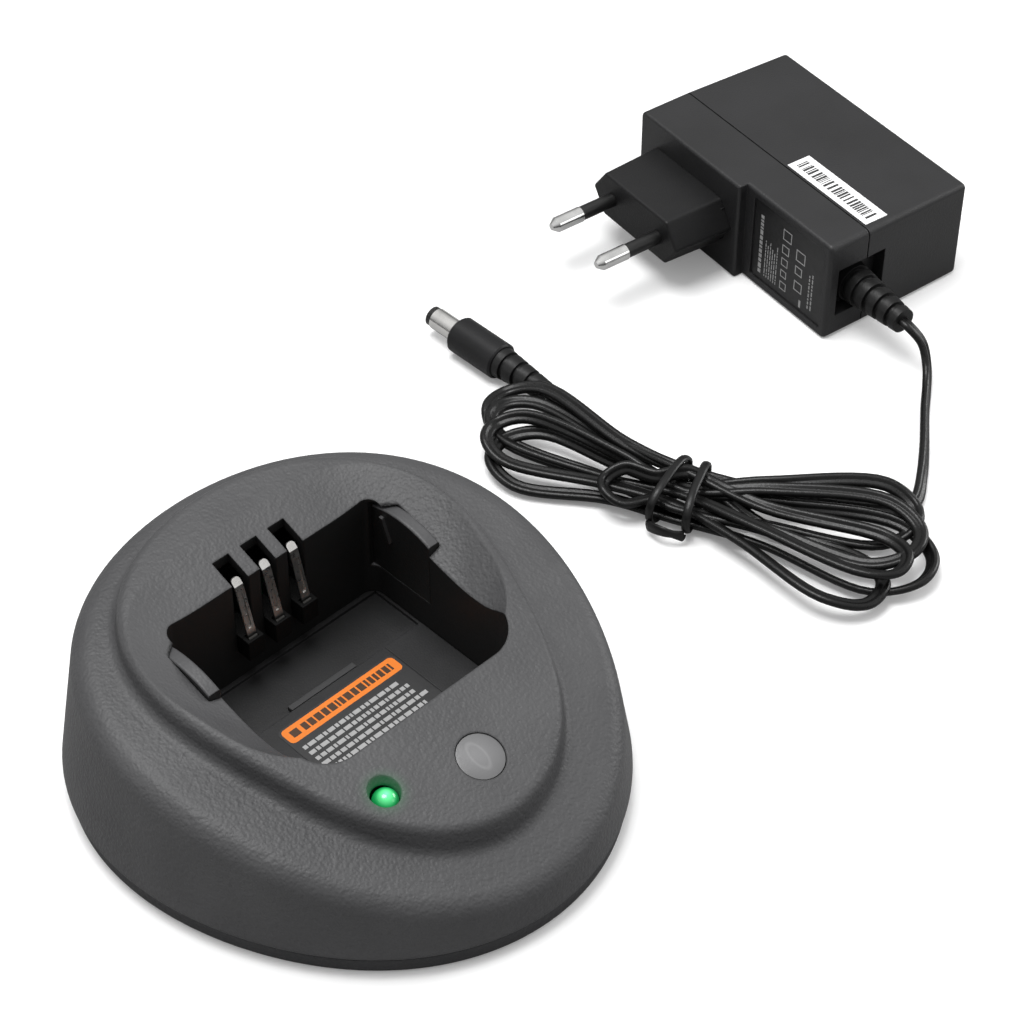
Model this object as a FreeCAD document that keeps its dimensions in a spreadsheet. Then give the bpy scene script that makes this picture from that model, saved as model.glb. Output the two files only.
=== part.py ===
import FreeCAD, Part
import Sketcher
import math
import os

# A desktop charging cradle for a portable two-way radio, and the plug-in power supply that feeds it.
# Millimetres. +Z is up, +X is the charger's right, +Y is its rear and the apron faces -Y.
# The origin is on the bench under the middle of the cradle.

Vector = FreeCAD.Vector
Placement = FreeCAD.Placement
Rotation = FreeCAD.Rotation

doc = FreeCAD.newDocument("charger_set")
sheet = doc.addObject("Spreadsheet::Sheet", "dims")

DIMENSIONS = {
    # cradle outline: radius plus second and third harmonics, and the taper of the skirt
    "base_radius": 60.0, "base_second": 1.6, "base_third": -1.5, "outline_shift": 1.5,
    "skirt_draft": 0.17, "shoulder_radius": 5.2, "rim_radius": 0.8,
    # heights of the crowned terrace at its front, its middle and its rear
    "crown_reach": 62.0, "crown_front": 13.0, "crown_middle": 32.4, "crown_rear": 37.6,
    # raised collar
    "collar_radius": 44.6, "collar_first": 0.8, "collar_second": 3.9, "collar_third": -2.45,
    "collar_shift": 2.8, "collar_draft": 0.15, "collar_height": 6.0,
    "collar_top_radius": 2.2, "collar_foot_radius": 2.3,
    "wall": 2.3, "seam_top": 4.9, "seam_bottom": 4.3,
    # dish that leads the radio into the well
    "dish_low": 30.0, "dish_high": 50.0,
    "dish_low_half": 26.5, "dish_low_rear": 1.1, "dish_low_front": 17.5, "dish_low_corner": 9.0,
    "dish_high_half": 52.0, "dish_high_rear": 55.6, "dish_high_front": 30.0, "dish_high_corner": 34.0,
    # well
    "well_half": 28.5, "well_front": 22.0, "well_rear": 25.6, "well_corner": 9.0, "well_back_corner": 3.0,
    "well_wall": 2.1, "well_foot": 10.1, "well_floor": 12.0,
    # tray that closes the well
    "tray_bottom": 8.2, "tray_top": 10.0, "tray_margin": 3.2, "fit_gap": 0.1,
    "tray_step": 10.4, "tray_step_depth": 0.9,
    "tray_rib_left": -8.5, "tray_rib_right": 9.7, "tray_rib_width": 1.4, "tray_rib_proud": 0.3,
    # guide rails
    "rail_thickness": 3.0, "rail_front": 7.3, "rail_rear": 25.1, "rail_bottom": 20.0, "rail_shoulder": 37.0,
    "rail_arch": 1.6, "rail_hook": 2.0, "rail_tab_proud": 0.7,
    # leaf contacts
    "contact_pitch": 7.5, "contact_width": 2.2, "contact_sheet": 0.4, "contact_root": 0.7,
    "contact_pivot_y": 23.2, "contact_pivot_z": 24.0, "contact_lean": 3.2, "contact_rise": 13.2,
    "contact_tip": 1.4, "contact_tip_round": 0.85, "contact_groove": 0.8,
    "contact_slot": 4.4, "contact_slot_rear": 31.8,
    "pivot_clearance": 0.05,
    # contact block
    "block_front": 21.9, "block_low": 19.4, "block_high": 24.6,
    "block_flange": 15.0, "block_flange_depth": 3.2, "block_flange_low": 12.0,
    # indicator and badge
    "lamp_x": -19.7, "lamp_y": -31.5, "lamp_hole": 2.9, "lamp_cone": 3.45, "lamp_cone_depth": 2.4,
    "pipe_radius": 2.75, "pipe_length": 12.5, "pipe_sink": 0.1,
    "badge_x": 1.2, "badge_y": -36.8, "badge_radius": 5.1, "badge_gap": 0.22,
    "badge_thickness": 1.6, "badge_crown": 0.35,
    "pocket_label_left": -15.2, "pocket_label_right": 17.4,
    # bottom cover
    "cover_bottom": 0.6, "cover_inset": 0.9, "cover_floor": 2.0, "cover_rim": 2.2,
    "lip_inset": 2.5, "lip_width": 1.5, "lip_top": 7.2,
    "foot_radius": 5.5, "foot_height": 1.1, "foot_x": 33.0, "foot_y": 34.0,
    "screw_x": 45.0, "screw_rear_y": 14.0, "screw_front_x": 33.0, "screw_front_y": -37.0,
    "boss_radius": 3.4, "screw_shank": 1.3, "screw_head": 2.6, "screw_head_height": 1.6, "screw_length": 12.0,
    # circuit board and its parts
    "board_low": 5.4, "board_sheet": 1.6, "board_front": 30.8, "board_rear": 49.0,
    "board_front_half": 38.0, "board_rear_half": 24.0,
    "jack_width": 9.0, "jack_height": 11.0, "jack_length": 14.0, "jack_bore": 3.1, "jack_pin": 1.0,
    "jack_mouth": 56.6, "jack_opening": 5.6,
    # power supply: place of the adapter and its turn on the bench
    "adapter_x": 195.3, "adapter_y": 89.0, "adapter_turn": -98.5,
    "adapter_length": 71.5, "adapter_height": 28.6, "shell_depth": 32.5, "cover_depth": 12.0,
    "adapter_wall": 2.0, "adapter_round": 1.6, "adapter_seam": 0.35, "shell_taper": 0.8,
    "plinth_length": 39.5, "plinth_proud": 2.6,
    "plug_centre": 19.8, "plug_width": 35.3, "plug_height": 13.7, "plug_depth": 17.0, "plug_bevel": 4.6,
    "plug_taper": 0.6, "plug_tongue": 3.6,
    "pin_pitch": 18.6, "pin_radius": 2.0, "pin_length": 19.0, "sleeve_length": 10.0, "sleeve_radius": 1.84,
    "pin_core": 1.5, "pin_tail": 3.0,
    "label_left": 42.5, "label_right": 69.3, "label_low": 2.2, "label_high": 26.4, "label_recess": 0.7,
    "label_sheet": 0.2,
    "sticker_left": 39.5, "sticker_length": 29.5, "sticker_width": 7.0, "sticker_sheet": 0.12,
    "outlet_depth": 4.0, "outlet_front": 9.0, "outlet_rear": 6.0, "outlet_low": 6.5, "outlet_high": 20.5,
    "relief_y": -1.5, "relief_z": 12.0, "relief_root": 5.2, "relief_end": 3.2, "relief_length": 20.0,
    "relief_rings": 5, "relief_groove": 1.4, "relief_groove_depth": 1.0, "cord_half": 1.7,
    # barrel plug on the end of the cord
    "dc_x": 106.6, "dc_y": 65.7, "dc_radius": 4.7, "dc_body_length": 15.0, "dc_barrel": 2.75,
    "dc_barrel_bore": 2.3, "dc_barrel_length": 8.0, "dc_tip_length": 1.5, "dc_socket": 1.05,
    "dc_relief_length": 14.8, "dc_relief_end": 2.6, "dc_rings": 3,
    # tied bundle of cord
    "bundle_low": 1.3, "bundle_height": 7.6, "bundle_waist": 8.5, "bundle_round": 3.0,
    "set_x": -84.376, "set_y": -14.798,
    "tie_sheet": 1.1, "tie_width": 3.0, "tie_gap": 0.15,
}

for row, (alias, value) in enumerate(DIMENSIONS.items(), start=1):
    sheet.set(f"A{row}", alias)
    sheet.set(f"B{row}", str(value))
    sheet.setAlias(f"B{row}", alias)
doc.recompute()


def dim(alias):
    """The number held by one cell of the sheet."""
    return float(sheet.get(alias))


def bind(obj, prop, expression):
    """Drive one property from the sheet; aliases inside {} become cell references."""
    text = expression if isinstance(expression, str) else str(expression)
    obj.setExpression(prop, text.replace("{", "dims.").replace("}", ""))


def put(obj, prop, expression):
    """Set a property: a string is an expression of sheet aliases, a number is fixed."""
    if isinstance(expression, str):
        bind(obj, prop, expression)
    else:
        setattr(obj, prop, expression)


def place_at(obj, corner, rotation=None):
    """Place a primitive; each coordinate of the corner is an expression or a number."""
    numbers = [c if not isinstance(c, str) else 0 for c in corner]
    obj.Placement = Placement(Vector(*numbers), rotation or Rotation())
    for axis, c in zip("xyz", corner):
        if isinstance(c, str):
            bind(obj, "Placement.Base." + axis, c)
    return obj


TURNED = {
    "+X": Rotation(Vector(0, 1, 0), 90),
    "-X": Rotation(Vector(0, 1, 0), -90),
    "+Y": Rotation(Vector(1, 0, 0), -90),
    "-Y": Rotation(Vector(1, 0, 0), 90),
    "+Z": Rotation(),
}


def box(name, corner, size):
    obj = doc.addObject("Part::Box", name)
    for prop, amount in zip(("Length", "Width", "Height"), size):
        put(obj, prop, amount)
    return place_at(obj, corner)


def cylinder(name, base, radius, height, axis="+Z"):
    obj = doc.addObject("Part::Cylinder", name)
    put(obj, "Radius", radius)
    put(obj, "Height", height)
    return place_at(obj, base, TURNED[axis])


def cone(name, base, radius1, radius2, height, axis="+Z"):
    obj = doc.addObject("Part::Cone", name)
    put(obj, "Radius1", radius1)
    put(obj, "Radius2", radius2)
    put(obj, "Height", height)
    return place_at(obj, base, TURNED[axis])


def fuse(name, shapes):
    obj = doc.addObject("Part::MultiFuse", name)
    obj.Shapes = shapes
    obj.Refine = True
    return obj


def common(name, first, second):
    obj = doc.addObject("Part::MultiCommon", name)
    obj.Shapes = [first, second]
    return obj


def cut(name, base, tools):
    obj = doc.addObject("Part::Cut", name)
    obj.Base = base
    obj.Tool = tools[0] if len(tools) == 1 else fuse(name + "_tools", tools)
    return obj


def set_place(place=None):
    """From the cradle's own frame to the frame of the whole set."""
    return Placement(Vector(dim("set_x"), dim("set_y"), 0), Rotation()).multiply(place or Placement())


def group(label, pieces, place=None):
    """Node made of one or several separate solids, moved as a whole."""
    obj = doc.addObject("Part::Compound", label)
    obj.Links = pieces
    obj.Placement = set_place(place)
    return finish_node(obj, label)


def finish_node(obj, label):
    obj.Label = label
    nodes.append(obj)
    return obj


nodes = []


# ---------------------------------------------------------------- sketches and bodies

def doc_sketch(name, place=None):
    obj = doc.addObject("Sketcher::SketchObject", name)
    if place is not None:
        obj.Placement = place
    return obj


def closed_lines(sketch, points):
    """Straight-sided closed outline."""
    for start, end in zip(points, points[1:] + points[:1]):
        sketch.addGeometry(Part.LineSegment(Vector(*start, 0), Vector(*end, 0)), False)
    return sketch


def rounded_rectangle(sketch, left, right, low, high, radii):
    """Outline with its own corner radius at low-left, low-right, high-right and high-left."""
    corners = [(left, low, 180), (right, low, 270), (right, high, 0), (left, high, 90)]
    inward = [(1, 1), (-1, 1), (-1, -1), (1, -1)]
    ends = []
    for (x, y, start), (sx, sy), r in zip(corners, inward, radii):
        centre = Vector(x + sx * r, y + sy * r, 0)
        circle = Part.Circle(centre, Vector(0, 0, 1), r)
        first = math.radians(start)
        sketch.addGeometry(Part.ArcOfCircle(circle, first, first + math.pi / 2), False)
        ends.append([centre + Vector(math.cos(t), math.sin(t), 0) * r for t in (first, first + math.pi / 2)])
    for k in range(4):
        sketch.addGeometry(Part.LineSegment(ends[k][1], ends[(k + 1) % 4][0]), False)
    return sketch


def egg_outline(sketch, radius, first, second, third, shift):
    """Smooth outline in two halves; its radius follows three harmonics of the angle from +Y."""
    steps = 24
    points = []
    for k in range(steps):
        a = 2 * math.pi * k / steps
        r = radius + first * math.cos(a) + second * math.cos(2 * a) + third * math.cos(3 * a)
        points.append(Vector(r * math.sin(a), shift + r * math.cos(a), 0))
    curve = Part.BSplineCurve()
    curve.interpolate(points, PeriodicFlag=True)
    start, end = curve.FirstParameter, curve.LastParameter
    middle = curve.parameter(points[steps // 2])
    for first, last in ((start, middle), (middle, end)):
        half = curve.copy()
        half.segment(first, last)
        sketch.addGeometry(half, False)
    return sketch


def base_outline(sketch, inset):
    radius = dim("base_radius") - inset
    return egg_outline(sketch, radius, 0, dim("base_second"), dim("base_third"), dim("outline_shift"))


def collar_outline(sketch, inset):
    radius = dim("collar_radius") - inset
    harmonics = [dim("collar_" + word) for word in ("first", "second", "third", "shift")]
    return egg_outline(sketch, radius, *harmonics)


def at_height(z):
    return Placement(Vector(0, 0, z), Rotation())


def loft(name, sections):
    obj = doc.addObject("Part::Loft", name)
    obj.Sections = sections
    obj.Solid = True
    obj.Ruled = True
    return obj


def new_body(label, place=None):
    body = doc.addObject("PartDesign::Body", label)
    body.Placement = set_place(place)
    return finish_node(body, label)


def body_sketch(body, name, role="XY_Plane", offset=None):
    """Sketch on one of the body's own origin planes, moved along the plane's normal."""
    sketch = body.newObject("Sketcher::SketchObject", name)
    plane = [f for f in body.Origin.OriginFeatures if f.Role == role][0]
    sketch.AttachmentSupport = [(plane, "")]
    sketch.MapMode = "FlatFace"
    if offset is not None:
        bind(sketch, "AttachmentOffset.Base.z", offset)
    return sketch


def pad(body, name, sketch, length, reverse=False, middle=False):
    feature = body.newObject("PartDesign::Pad", name)
    feature.Profile = sketch
    bind(feature, "Length", length)
    feature.Reversed = reverse
    feature.Midplane = middle
    doc.recompute()
    return feature


def pocket(body, name, sketch, length, reverse=False, middle=False):
    """Pocket that must remove material: its volume is compared with the body's before it."""
    before = body.Shape.Volume
    feature = body.newObject("PartDesign::Pocket", name)
    feature.Profile = sketch
    bind(feature, "Length", length)
    feature.Reversed = reverse
    feature.Midplane = middle
    doc.recompute()
    if body.Shape.Volume > before - 0.01:
        raise RuntimeError(f"{name} removed nothing")
    return feature


def spin(body, name, sketch, axis="V_Axis", subtract=False):
    kind = "PartDesign::Groove" if subtract else "PartDesign::Revolution"
    before = body.Shape.Volume if subtract else 0
    feature = body.newObject(kind, name)
    feature.Profile = sketch
    feature.ReferenceAxis = (sketch, [axis])
    feature.Angle = 360
    doc.recompute()
    if subtract and body.Shape.Volume > before - 0.01:
        raise RuntimeError(f"{name} removed nothing")
    return feature


def edges_where(shape, test):
    return [f"Edge{k}" for k, edge in enumerate(shape.Edges, start=1) if test(edge)]


def soften(body, name, base, radius, test, kind="PartDesign::Fillet"):
    """Fillet or chamfer on the edges of the last feature that pass the test."""
    feature = body.newObject(kind, name)
    feature.Base = (base, edges_where(base.Shape, test))
    prop = "Radius" if kind == "PartDesign::Fillet" else "Size"
    bind(feature, prop, radius)
    doc.recompute()
    return feature


# ---------------------------------------------------------------- top housing

def crown_profile(name, drop):
    """Side view of everything below the crowned top, lowered by drop: an arc and three straight sides."""
    reach = dim("crown_reach")
    low = -20
    heights = [dim("crown_" + word) - drop for word in ("front", "middle", "rear")]
    front, middle, rear = [Vector(y, z, 0) for y, z in zip((-reach, 0, reach), heights)]
    sketch = doc_sketch(name, Placement(Vector(-2 * reach, 0, 0), Rotation(Vector(1, 1, 1), 120)))
    arc = Part.Arc(front, middle, rear)
    sketch.addGeometry(arc, False)
    corners = [(front.x, front.y), (front.x, low), (rear.x, low), (rear.x, rear.y)]
    for start, end in zip(corners, corners[1:]):
        sketch.addGeometry(Part.LineSegment(Vector(*start, 0), Vector(*end, 0)), False)
    solid = doc.addObject("Part::Extrusion", name + "_block")
    solid.Base = sketch
    solid.DirMode = "Custom"
    solid.Dir = Vector(1, 0, 0)
    bind(solid, "LengthFwd", "4 * {crown_reach}")
    solid.Solid = True
    return solid


def crown_height(y):
    """Height of the terrace at a distance y from the middle."""
    reach = dim("crown_reach")
    front, middle, rear = [dim("crown_" + word) for word in ("front", "middle", "rear")]
    arc = Part.Arc(Vector(-reach, front, 0), Vector(0, middle, 0), Vector(reach, rear, 0))
    line = Part.LineSegment(Vector(y, -200, 0), Vector(y, 200, 0))
    point = arc.toShape().distToShape(line.toShape())[1][0][0]
    return point.y


def crown_slope(y):
    """Slope of the terrace, as an angle in degrees."""
    return math.degrees(math.atan2(crown_height(y + 0.5) - crown_height(y - 0.5), 1.0))


def skirt_loft(name, inset, low):
    """Drafted skirt, from its lower edge to well above the crown."""
    top = dim("crown_rear") + 20
    sections = []
    for tag, z in (("low", low), ("high", top)):
        sketch = doc_sketch(f"{name}_{tag}", at_height(z))
        base_outline(sketch, inset + dim("skirt_draft") * (z - dim("seam_top")))
        sections.append(sketch)
    return loft(name, sections)


def collar_loft(name, inset, low):
    """Drafted collar wall, true to size at the middle of the crown."""
    top = dim("crown_rear") + 20
    sections = []
    for tag, z in (("low", low), ("high", top)):
        sketch = doc_sketch(f"{name}_{tag}", at_height(z))
        collar_outline(sketch, inset + dim("collar_draft") * (z - dim("crown_middle")))
        sections.append(sketch)
    return loft(name, sections)


def dish_loft(name, grow, drop):
    """Tapering rounded funnel; grown and lowered by the wall it leaves, for the cavity below it."""
    sections = []
    for word in ("low", "high"):
        sketch = doc_sketch(f"{name}_{word}", at_height(dim("dish_" + word) - drop))
        half = dim(f"dish_{word}_half") + grow
        corner = dim(f"dish_{word}_corner")
        front = -dim(f"dish_{word}_front") - grow
        rear = dim(f"dish_{word}_rear") + grow
        rounded_rectangle(sketch, -half, half, front, rear, [corner] * 4)
        sections.append(sketch)
    return loft(name, sections)


def well_prism(name, grow, low, high):
    sketch = doc_sketch(name + "_outline", at_height(low))
    half = dim("well_half") + grow
    front_corner = dim("well_corner") + max(grow, 0)
    back_corner = dim("well_back_corner") + max(grow, 0)
    radii = [front_corner, front_corner, back_corner, back_corner]
    rounded_rectangle(sketch, -half, half, -dim("well_front") - grow, dim("well_rear") + grow, radii)
    solid = doc.addObject("Part::Extrusion", name)
    solid.Base = sketch
    solid.DirMode = "Custom"
    solid.Dir = Vector(0, 0, 1)
    solid.LengthFwd = high - low
    solid.Solid = True
    return solid


def rounded(name, base, choices):
    """Part fillet whose edges are chosen by radius and test."""
    doc.recompute()
    obj = doc.addObject("Part::Fillet", name)
    obj.Base = base
    chosen = []
    for radius, test in choices:
        for k, edge in enumerate(base.Shape.Edges, start=1):
            if test(edge):
                chosen.append((k, radius, radius))
    obj.Edges = chosen
    doc.recompute()
    return obj


def screw_places():
    """Middle of each housing screw, in mirrored pairs."""
    places = []
    for side in (-1, 1):
        places.append((side * dim("screw_x"), dim("screw_rear_y")))
        places.append((side * dim("screw_front_x"), dim("screw_front_y")))
    return places


def contact_places():
    return [(word, k * dim("contact_pitch")) for word, k in (("left", -1), ("centre", 0), ("right", 1))]


def top_housing():
    low = dim("seam_top")
    high = dim("crown_rear") + 20
    terrace = common("terrace", skirt_loft("skirt", 0, low), crown_profile("crown", 0))
    collar_block = crown_profile("collar_crown", -dim("collar_height"))
    collar = common("collar", collar_loft("collar_wall", 0, low), collar_block)
    outer = fuse("outer_form", [terrace, collar])

    wall = dim("wall")
    lid = crown_profile("crown_inside", wall)
    room = common("skirt_room", skirt_loft("skirt_inside", wall, low - 2), lid)
    collar_lid = crown_profile("collar_inside", wall - dim("collar_height"))
    collar_room = common("collar_room", collar_loft("collar_wall_inside", wall + 1, low - 2), collar_lid)
    cavity = fuse("cavity_form", [room, collar_room])
    well_outside = well_prism("well_outside", dim("well_wall"), 0, high)
    dish_outside = dish_loft("dish_outside", 1.0, wall)
    hooks = []
    for side in (-1, 1):
        edge = side * (dim("well_half") + dim("rail_thickness") / 2)
        width = dim("rail_thickness") + 2 * dim("rail_hook") + 3
        length = dim("rail_rear") - dim("rail_front") + 3
        corner = (edge - width / 2, dim("rail_front") - 1.5, 22.6)
        hooks.append(box("rail_seat", corner, (width, length, high)))
    posts = []
    for x, y in screw_places():
        posts.append(cylinder("post", (x, y, dim("seam_top") + 0.9), "{boss_radius}", high))
    cavity_cut = cut("cavity", cavity, [well_outside, dish_outside] + hooks + posts)

    tools = [cavity_cut, well_prism("well_inside", 0, -5, high), dish_loft("dish", 0, 0)]
    tools.append(well_prism("tray_room", dim("tray_margin") + 0.4, -5, dim("well_foot")))
    gap = dim("fit_gap")
    for side in (-1, 1):
        inner = dim("well_half") - 1
        thickness = dim("rail_thickness") + 1 + gap
        left = inner if side > 0 else -inner - thickness
        span = dim("rail_rear") - dim("rail_front") + 2 * gap
        foot = dim("rail_bottom") - gap
        crest = dim("rail_shoulder") + dim("rail_arch") + 2 * gap
        tools.append(box("rail_slot", (left, dim("rail_front") - gap, foot), (thickness, span, crest - foot)))
    for word, x in contact_places():
        left = x - dim("contact_slot") / 2
        start = dim("well_rear") - 1
        span = dim("contact_slot_rear") - start
        notch = (left, start, dim("block_high") - 1)
        tools.append(box("contact_notch", notch, ("{contact_slot}", span, high)))
        window = (left, start, dim("block_low") - gap)
        height = dim("block_high") - dim("block_low") + 2 * gap
        tools.append(box("block_window", window, ("{contact_slot}", dim("well_wall") + 2, height)))
    flange = (-dim("block_flange") - gap, dim("well_rear") + dim("well_wall"), 5)
    flange_size = (2 * (dim("block_flange") + gap), dim("block_flange_depth") + 0.3, 23.5)
    tools.append(box("block_room", flange, flange_size))

    lamp_x, lamp_y = dim("lamp_x"), dim("lamp_y")
    lamp_top = crown_height(lamp_y) + dim("collar_height")
    tools.append(cylinder("lamp_hole", (lamp_x, lamp_y, 8), "{lamp_hole}", 40))
    mouth = (lamp_x, lamp_y, lamp_top - dim("lamp_cone_depth"))
    above = 3.0
    flare = dim("lamp_hole") + (dim("lamp_cone") - dim("lamp_hole")) * (1 + above / dim("lamp_cone_depth"))
    tools.append(cone("lamp_mouth", mouth, "{lamp_hole}", flare, f"{{lamp_cone_depth}} + {above}"))

    recess = doc.addObject("Part::Cylinder", "badge_recess")
    put(recess, "Radius", "{badge_radius} + {badge_gap}")
    put(recess, "Height", 6.0)
    recess.Placement = badge_place(-dim("badge_thickness"))
    tools.append(recess)
    for x, y in screw_places():
        tools.append(cylinder("pilot", (x, y, 5), dim("screw_shank") + dim("pivot_clearance"), 12))
    tools.append(cylinder("jack_opening", (0, 50, jack_axis_height()), "{jack_opening}", 20, "+Y"))
    shell = cut("sharp_housing", outer, tools)

    def reach(edge):
        return max(-edge.BoundBox.XMin, edge.BoundBox.XMax)

    def is_shoulder(edge):
        return edge.Length > 175 and edge.BoundBox.ZLength > 5

    def is_rim(edge):
        return edge.Length > 185 and edge.BoundBox.ZMax < low + 0.1

    def is_collar(top):
        def test(edge):
            risen = edge.BoundBox.ZMax > dim("crown_rear") + 2
            return 130 < edge.Length < 155 and 40 < reach(edge) < 50 and risen == top
        return test

    form = rounded("collar_top_rounded", shell, [(dim("collar_top_radius"), is_collar(True))])
    form = rounded("collar_foot_rounded", form, [(dim("collar_foot_radius"), is_collar(False))])
    form = rounded("shoulder_rounded", form, [(dim("shoulder_radius"), is_shoulder)])
    form = rounded("rim_rounded", form, [(dim("rim_radius"), is_rim)])
    return group("top_housing", [form])


def badge_place(depth):
    """Placement on the apron's surface, turned to its slope, at a depth along its normal."""
    y = dim("badge_y")
    slope = crown_slope(y)
    turn = Rotation(Vector(1, 0, 0), slope)
    surface = Vector(dim("badge_x"), y, crown_height(y) + dim("collar_height"))
    return Placement(surface + turn.multVec(Vector(0, 0, depth)), turn)


def jack_axis_height():
    return dim("board_low") + dim("board_sheet") + dim("jack_height") / 2 + 0.2


# ---------------------------------------------------------------- pieces of the well

def pocket_floor():
    """Tray under the well: a flange, a raised floor with a step across it, and a small rib."""
    body = new_body("pocket_floor")
    flange = body_sketch(body, "flange_outline", offset="{tray_bottom}")
    half = dim("well_half") + dim("tray_margin")
    radii = [dim("well_corner") + 2] * 2 + [dim("well_back_corner") + 1] * 2
    rear = dim("well_rear") + dim("well_wall")
    rounded_rectangle(flange, -half, half, -dim("well_front") - dim("tray_margin"), rear, radii)
    pad(body, "flange", flange, "{tray_top} - {tray_bottom}")
    raised = body_sketch(body, "floor_outline", offset="{tray_top}")
    gap = dim("fit_gap")
    half = dim("well_half") - gap
    radii = [dim("well_corner")] * 2 + [dim("well_back_corner")] * 2
    rounded_rectangle(raised, -half, half, gap - dim("well_front"), dim("well_rear") - gap, radii)
    pad(body, "floor", raised, "{well_floor} - {tray_top}")
    step = body_sketch(body, "step_outline", offset="{well_floor}")
    corners = [(-half + 0.6, dim("tray_step")), (half - 0.6, dim("tray_step"))]
    corners += [(half - 0.6, dim("well_rear") - 1.2), (-half + 0.6, dim("well_rear") - 1.2)]
    closed_lines(step, corners)
    pocket(body, "step", step, "{tray_step_depth}")
    rib = body_sketch(body, "rib_outline", offset="{well_floor} - {tray_step_depth}")
    left, right = dim("tray_rib_left"), dim("tray_rib_right")
    near = dim("tray_step")
    far = near + dim("tray_rib_width")
    closed_lines(rib, [(left, near), (right, near), (right, far), (left, far)])
    pad(body, "rib", rib, "{tray_step_depth} + {tray_rib_proud}")
    return body


def guide_rail(word, side):
    """Arched rail that stands in the side of the well, held from below by a hook."""
    body = new_body("guide_rail_" + word)
    start = dim("rail_front")
    end = dim("rail_rear")
    profile = body_sketch(body, "rail_profile_" + word, "YZ_Plane", f"{side} * {{well_half}}")
    low, shoulder = dim("rail_bottom"), dim("rail_shoulder")
    crest = Vector((start + end) / 2, shoulder + dim("rail_arch"), 0)
    profile.addGeometry(Part.Arc(Vector(start, shoulder - 0.4, 0), crest, Vector(end, shoulder, 0)), False)
    corners = [(end, shoulder), (end, low), (start, low), (start, shoulder - 0.4)]
    for a, b in zip(corners, corners[1:]):
        profile.addGeometry(Part.LineSegment(Vector(*a, 0), Vector(*b, 0)), False)
    blade = pad(body, "blade", profile, "{rail_thickness}", reverse=side < 0)

    def crest_edge(edge):
        return edge.BoundBox.ZMin > shoulder - 0.6 and edge.BoundBox.YLength > 5

    soften(body, "eased_crest", blade, 0.5, crest_edge)
    hook = body_sketch(body, "hook_outline", offset="{rail_bottom}")
    inner = side * (dim("well_half") + dim("well_wall") + 0.05)
    outer = side * (dim("well_half") + dim("rail_thickness") + dim("rail_hook"))
    left, right = sorted((inner, outer))
    closed_lines(hook, [(left, start + 2), (right, start + 2), (right, end - 2), (left, end - 2)])
    pad(body, "hook", hook, 2.5)
    if side > 0:
        tab = body_sketch(body, "tab_outline", "YZ_Plane", "{well_half} - {rail_tab_proud}")
        closed_lines(tab, [(19.0, 30.0), (20.0, 30.0), (22.2, 36.0), (21.2, 36.0)])
        pad(body, "tab", tab, "{rail_tab_proud} + 0.5")
    return body


def leaf_contact(word, x):
    """Sprung blade with a rolled root, leaning back towards its bent tip, with a pressed groove."""
    body = new_body("contact_" + word)
    root = (dim("contact_pivot_y"), dim("contact_pivot_z"))
    profile = body_sketch(body, "blade_profile_" + word, "YZ_Plane", str(x))
    t = dim("contact_sheet")
    lean, rise, tip = dim("contact_lean"), dim("contact_rise"), dim("contact_tip")
    y, z = root
    centre = [(y, z), (y + lean * 0.08, z + 1.6), (y + lean, z + rise), (y + lean + tip, z + rise + tip)]
    front = [(a - t / 2, b + t / 4) for a, b in centre]
    back = [(a + t / 2, b - t / 4) for a, b in reversed(centre)]
    closed_lines(profile, front + back)
    blade = pad(body, "blade", profile, "{contact_width}", middle=True)

    def tip_corner(edge):
        return edge.BoundBox.ZMin > z + rise + tip - t and edge.BoundBox.XLength < 0.01

    soften(body, "rounded_tip", blade, "{contact_tip_round}", tip_corner)
    roll = body_sketch(body, "root_outline_" + word, "YZ_Plane", str(x))
    roll.addGeometry(Part.Circle(Vector(*root, 0), Vector(0, 0, 1), dim("contact_root")), False)
    pad(body, "root", roll, "{contact_width}", middle=True)
    groove = body_sketch(body, "groove_outline_" + word, "YZ_Plane", str(x))
    face = [(y + lean * 0.2, z + 2.6), (y + lean * 0.86, z + rise * 0.86)]
    slope = Vector(face[1][0] - face[0][0], face[1][1] - face[0][1], 0).normalize()
    normal = Vector(-slope.y, slope.x, 0)
    points = []
    for (a, b), depth in ((face[0], -1), (face[1], -1), (face[1], 0.1), (face[0], 0.1)):
        place = Vector(a, b, 0) + normal * (t / 2 - 0.14 if depth > 0 else 1.0)
        points.append((place.x, place.y))
    closed_lines(groove, points)
    pocket(body, "groove", groove, "{contact_groove}", middle=True)
    return body


def contact_block():
    """Insulating carrier: a flange behind the well's rear wall, and a nose through it for each contact."""
    gap = dim("fit_gap")
    rear = dim("well_rear") + dim("well_wall") + gap
    noses = []
    for word, x in contact_places():
        corner = (x - dim("contact_slot") / 2 + gap, "{block_front}", "{block_low}")
        size = ("{contact_slot} - 2 * {fit_gap}", rear - dim("block_front") + 1, "{block_high} - {block_low}")
        noses.append(box("nose", corner, size))
    flange_low = dim("block_flange_low")
    flange = box("block_flange_plate", ("-{block_flange}", rear, flange_low),
                 ("2 * {block_flange}", "{block_flange_depth} - {fit_gap}", 28.0 - flange_low))
    tools = []
    y, z = dim("contact_pivot_y"), dim("contact_pivot_z")
    bore = dim("contact_root") + dim("pivot_clearance")
    width = dim("contact_width") + 0.3
    for word, x in contact_places():
        tools.append(cylinder("root_bore", (x - width / 2, y, z), bore, width, "+X"))
        tools.append(box("blade_way", (x - width / 2, y - 0.75, z), (width, 1.9, 3)))
        tools.append(box("flange_notch", (x - dim("contact_slot") / 2, rear - 1, "{block_high}"),
                         ("{contact_slot}", 6, 10)))
    return group("contact_block", [cut("block_cut", fuse("block_form", noses + [flange]), tools)])


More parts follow.
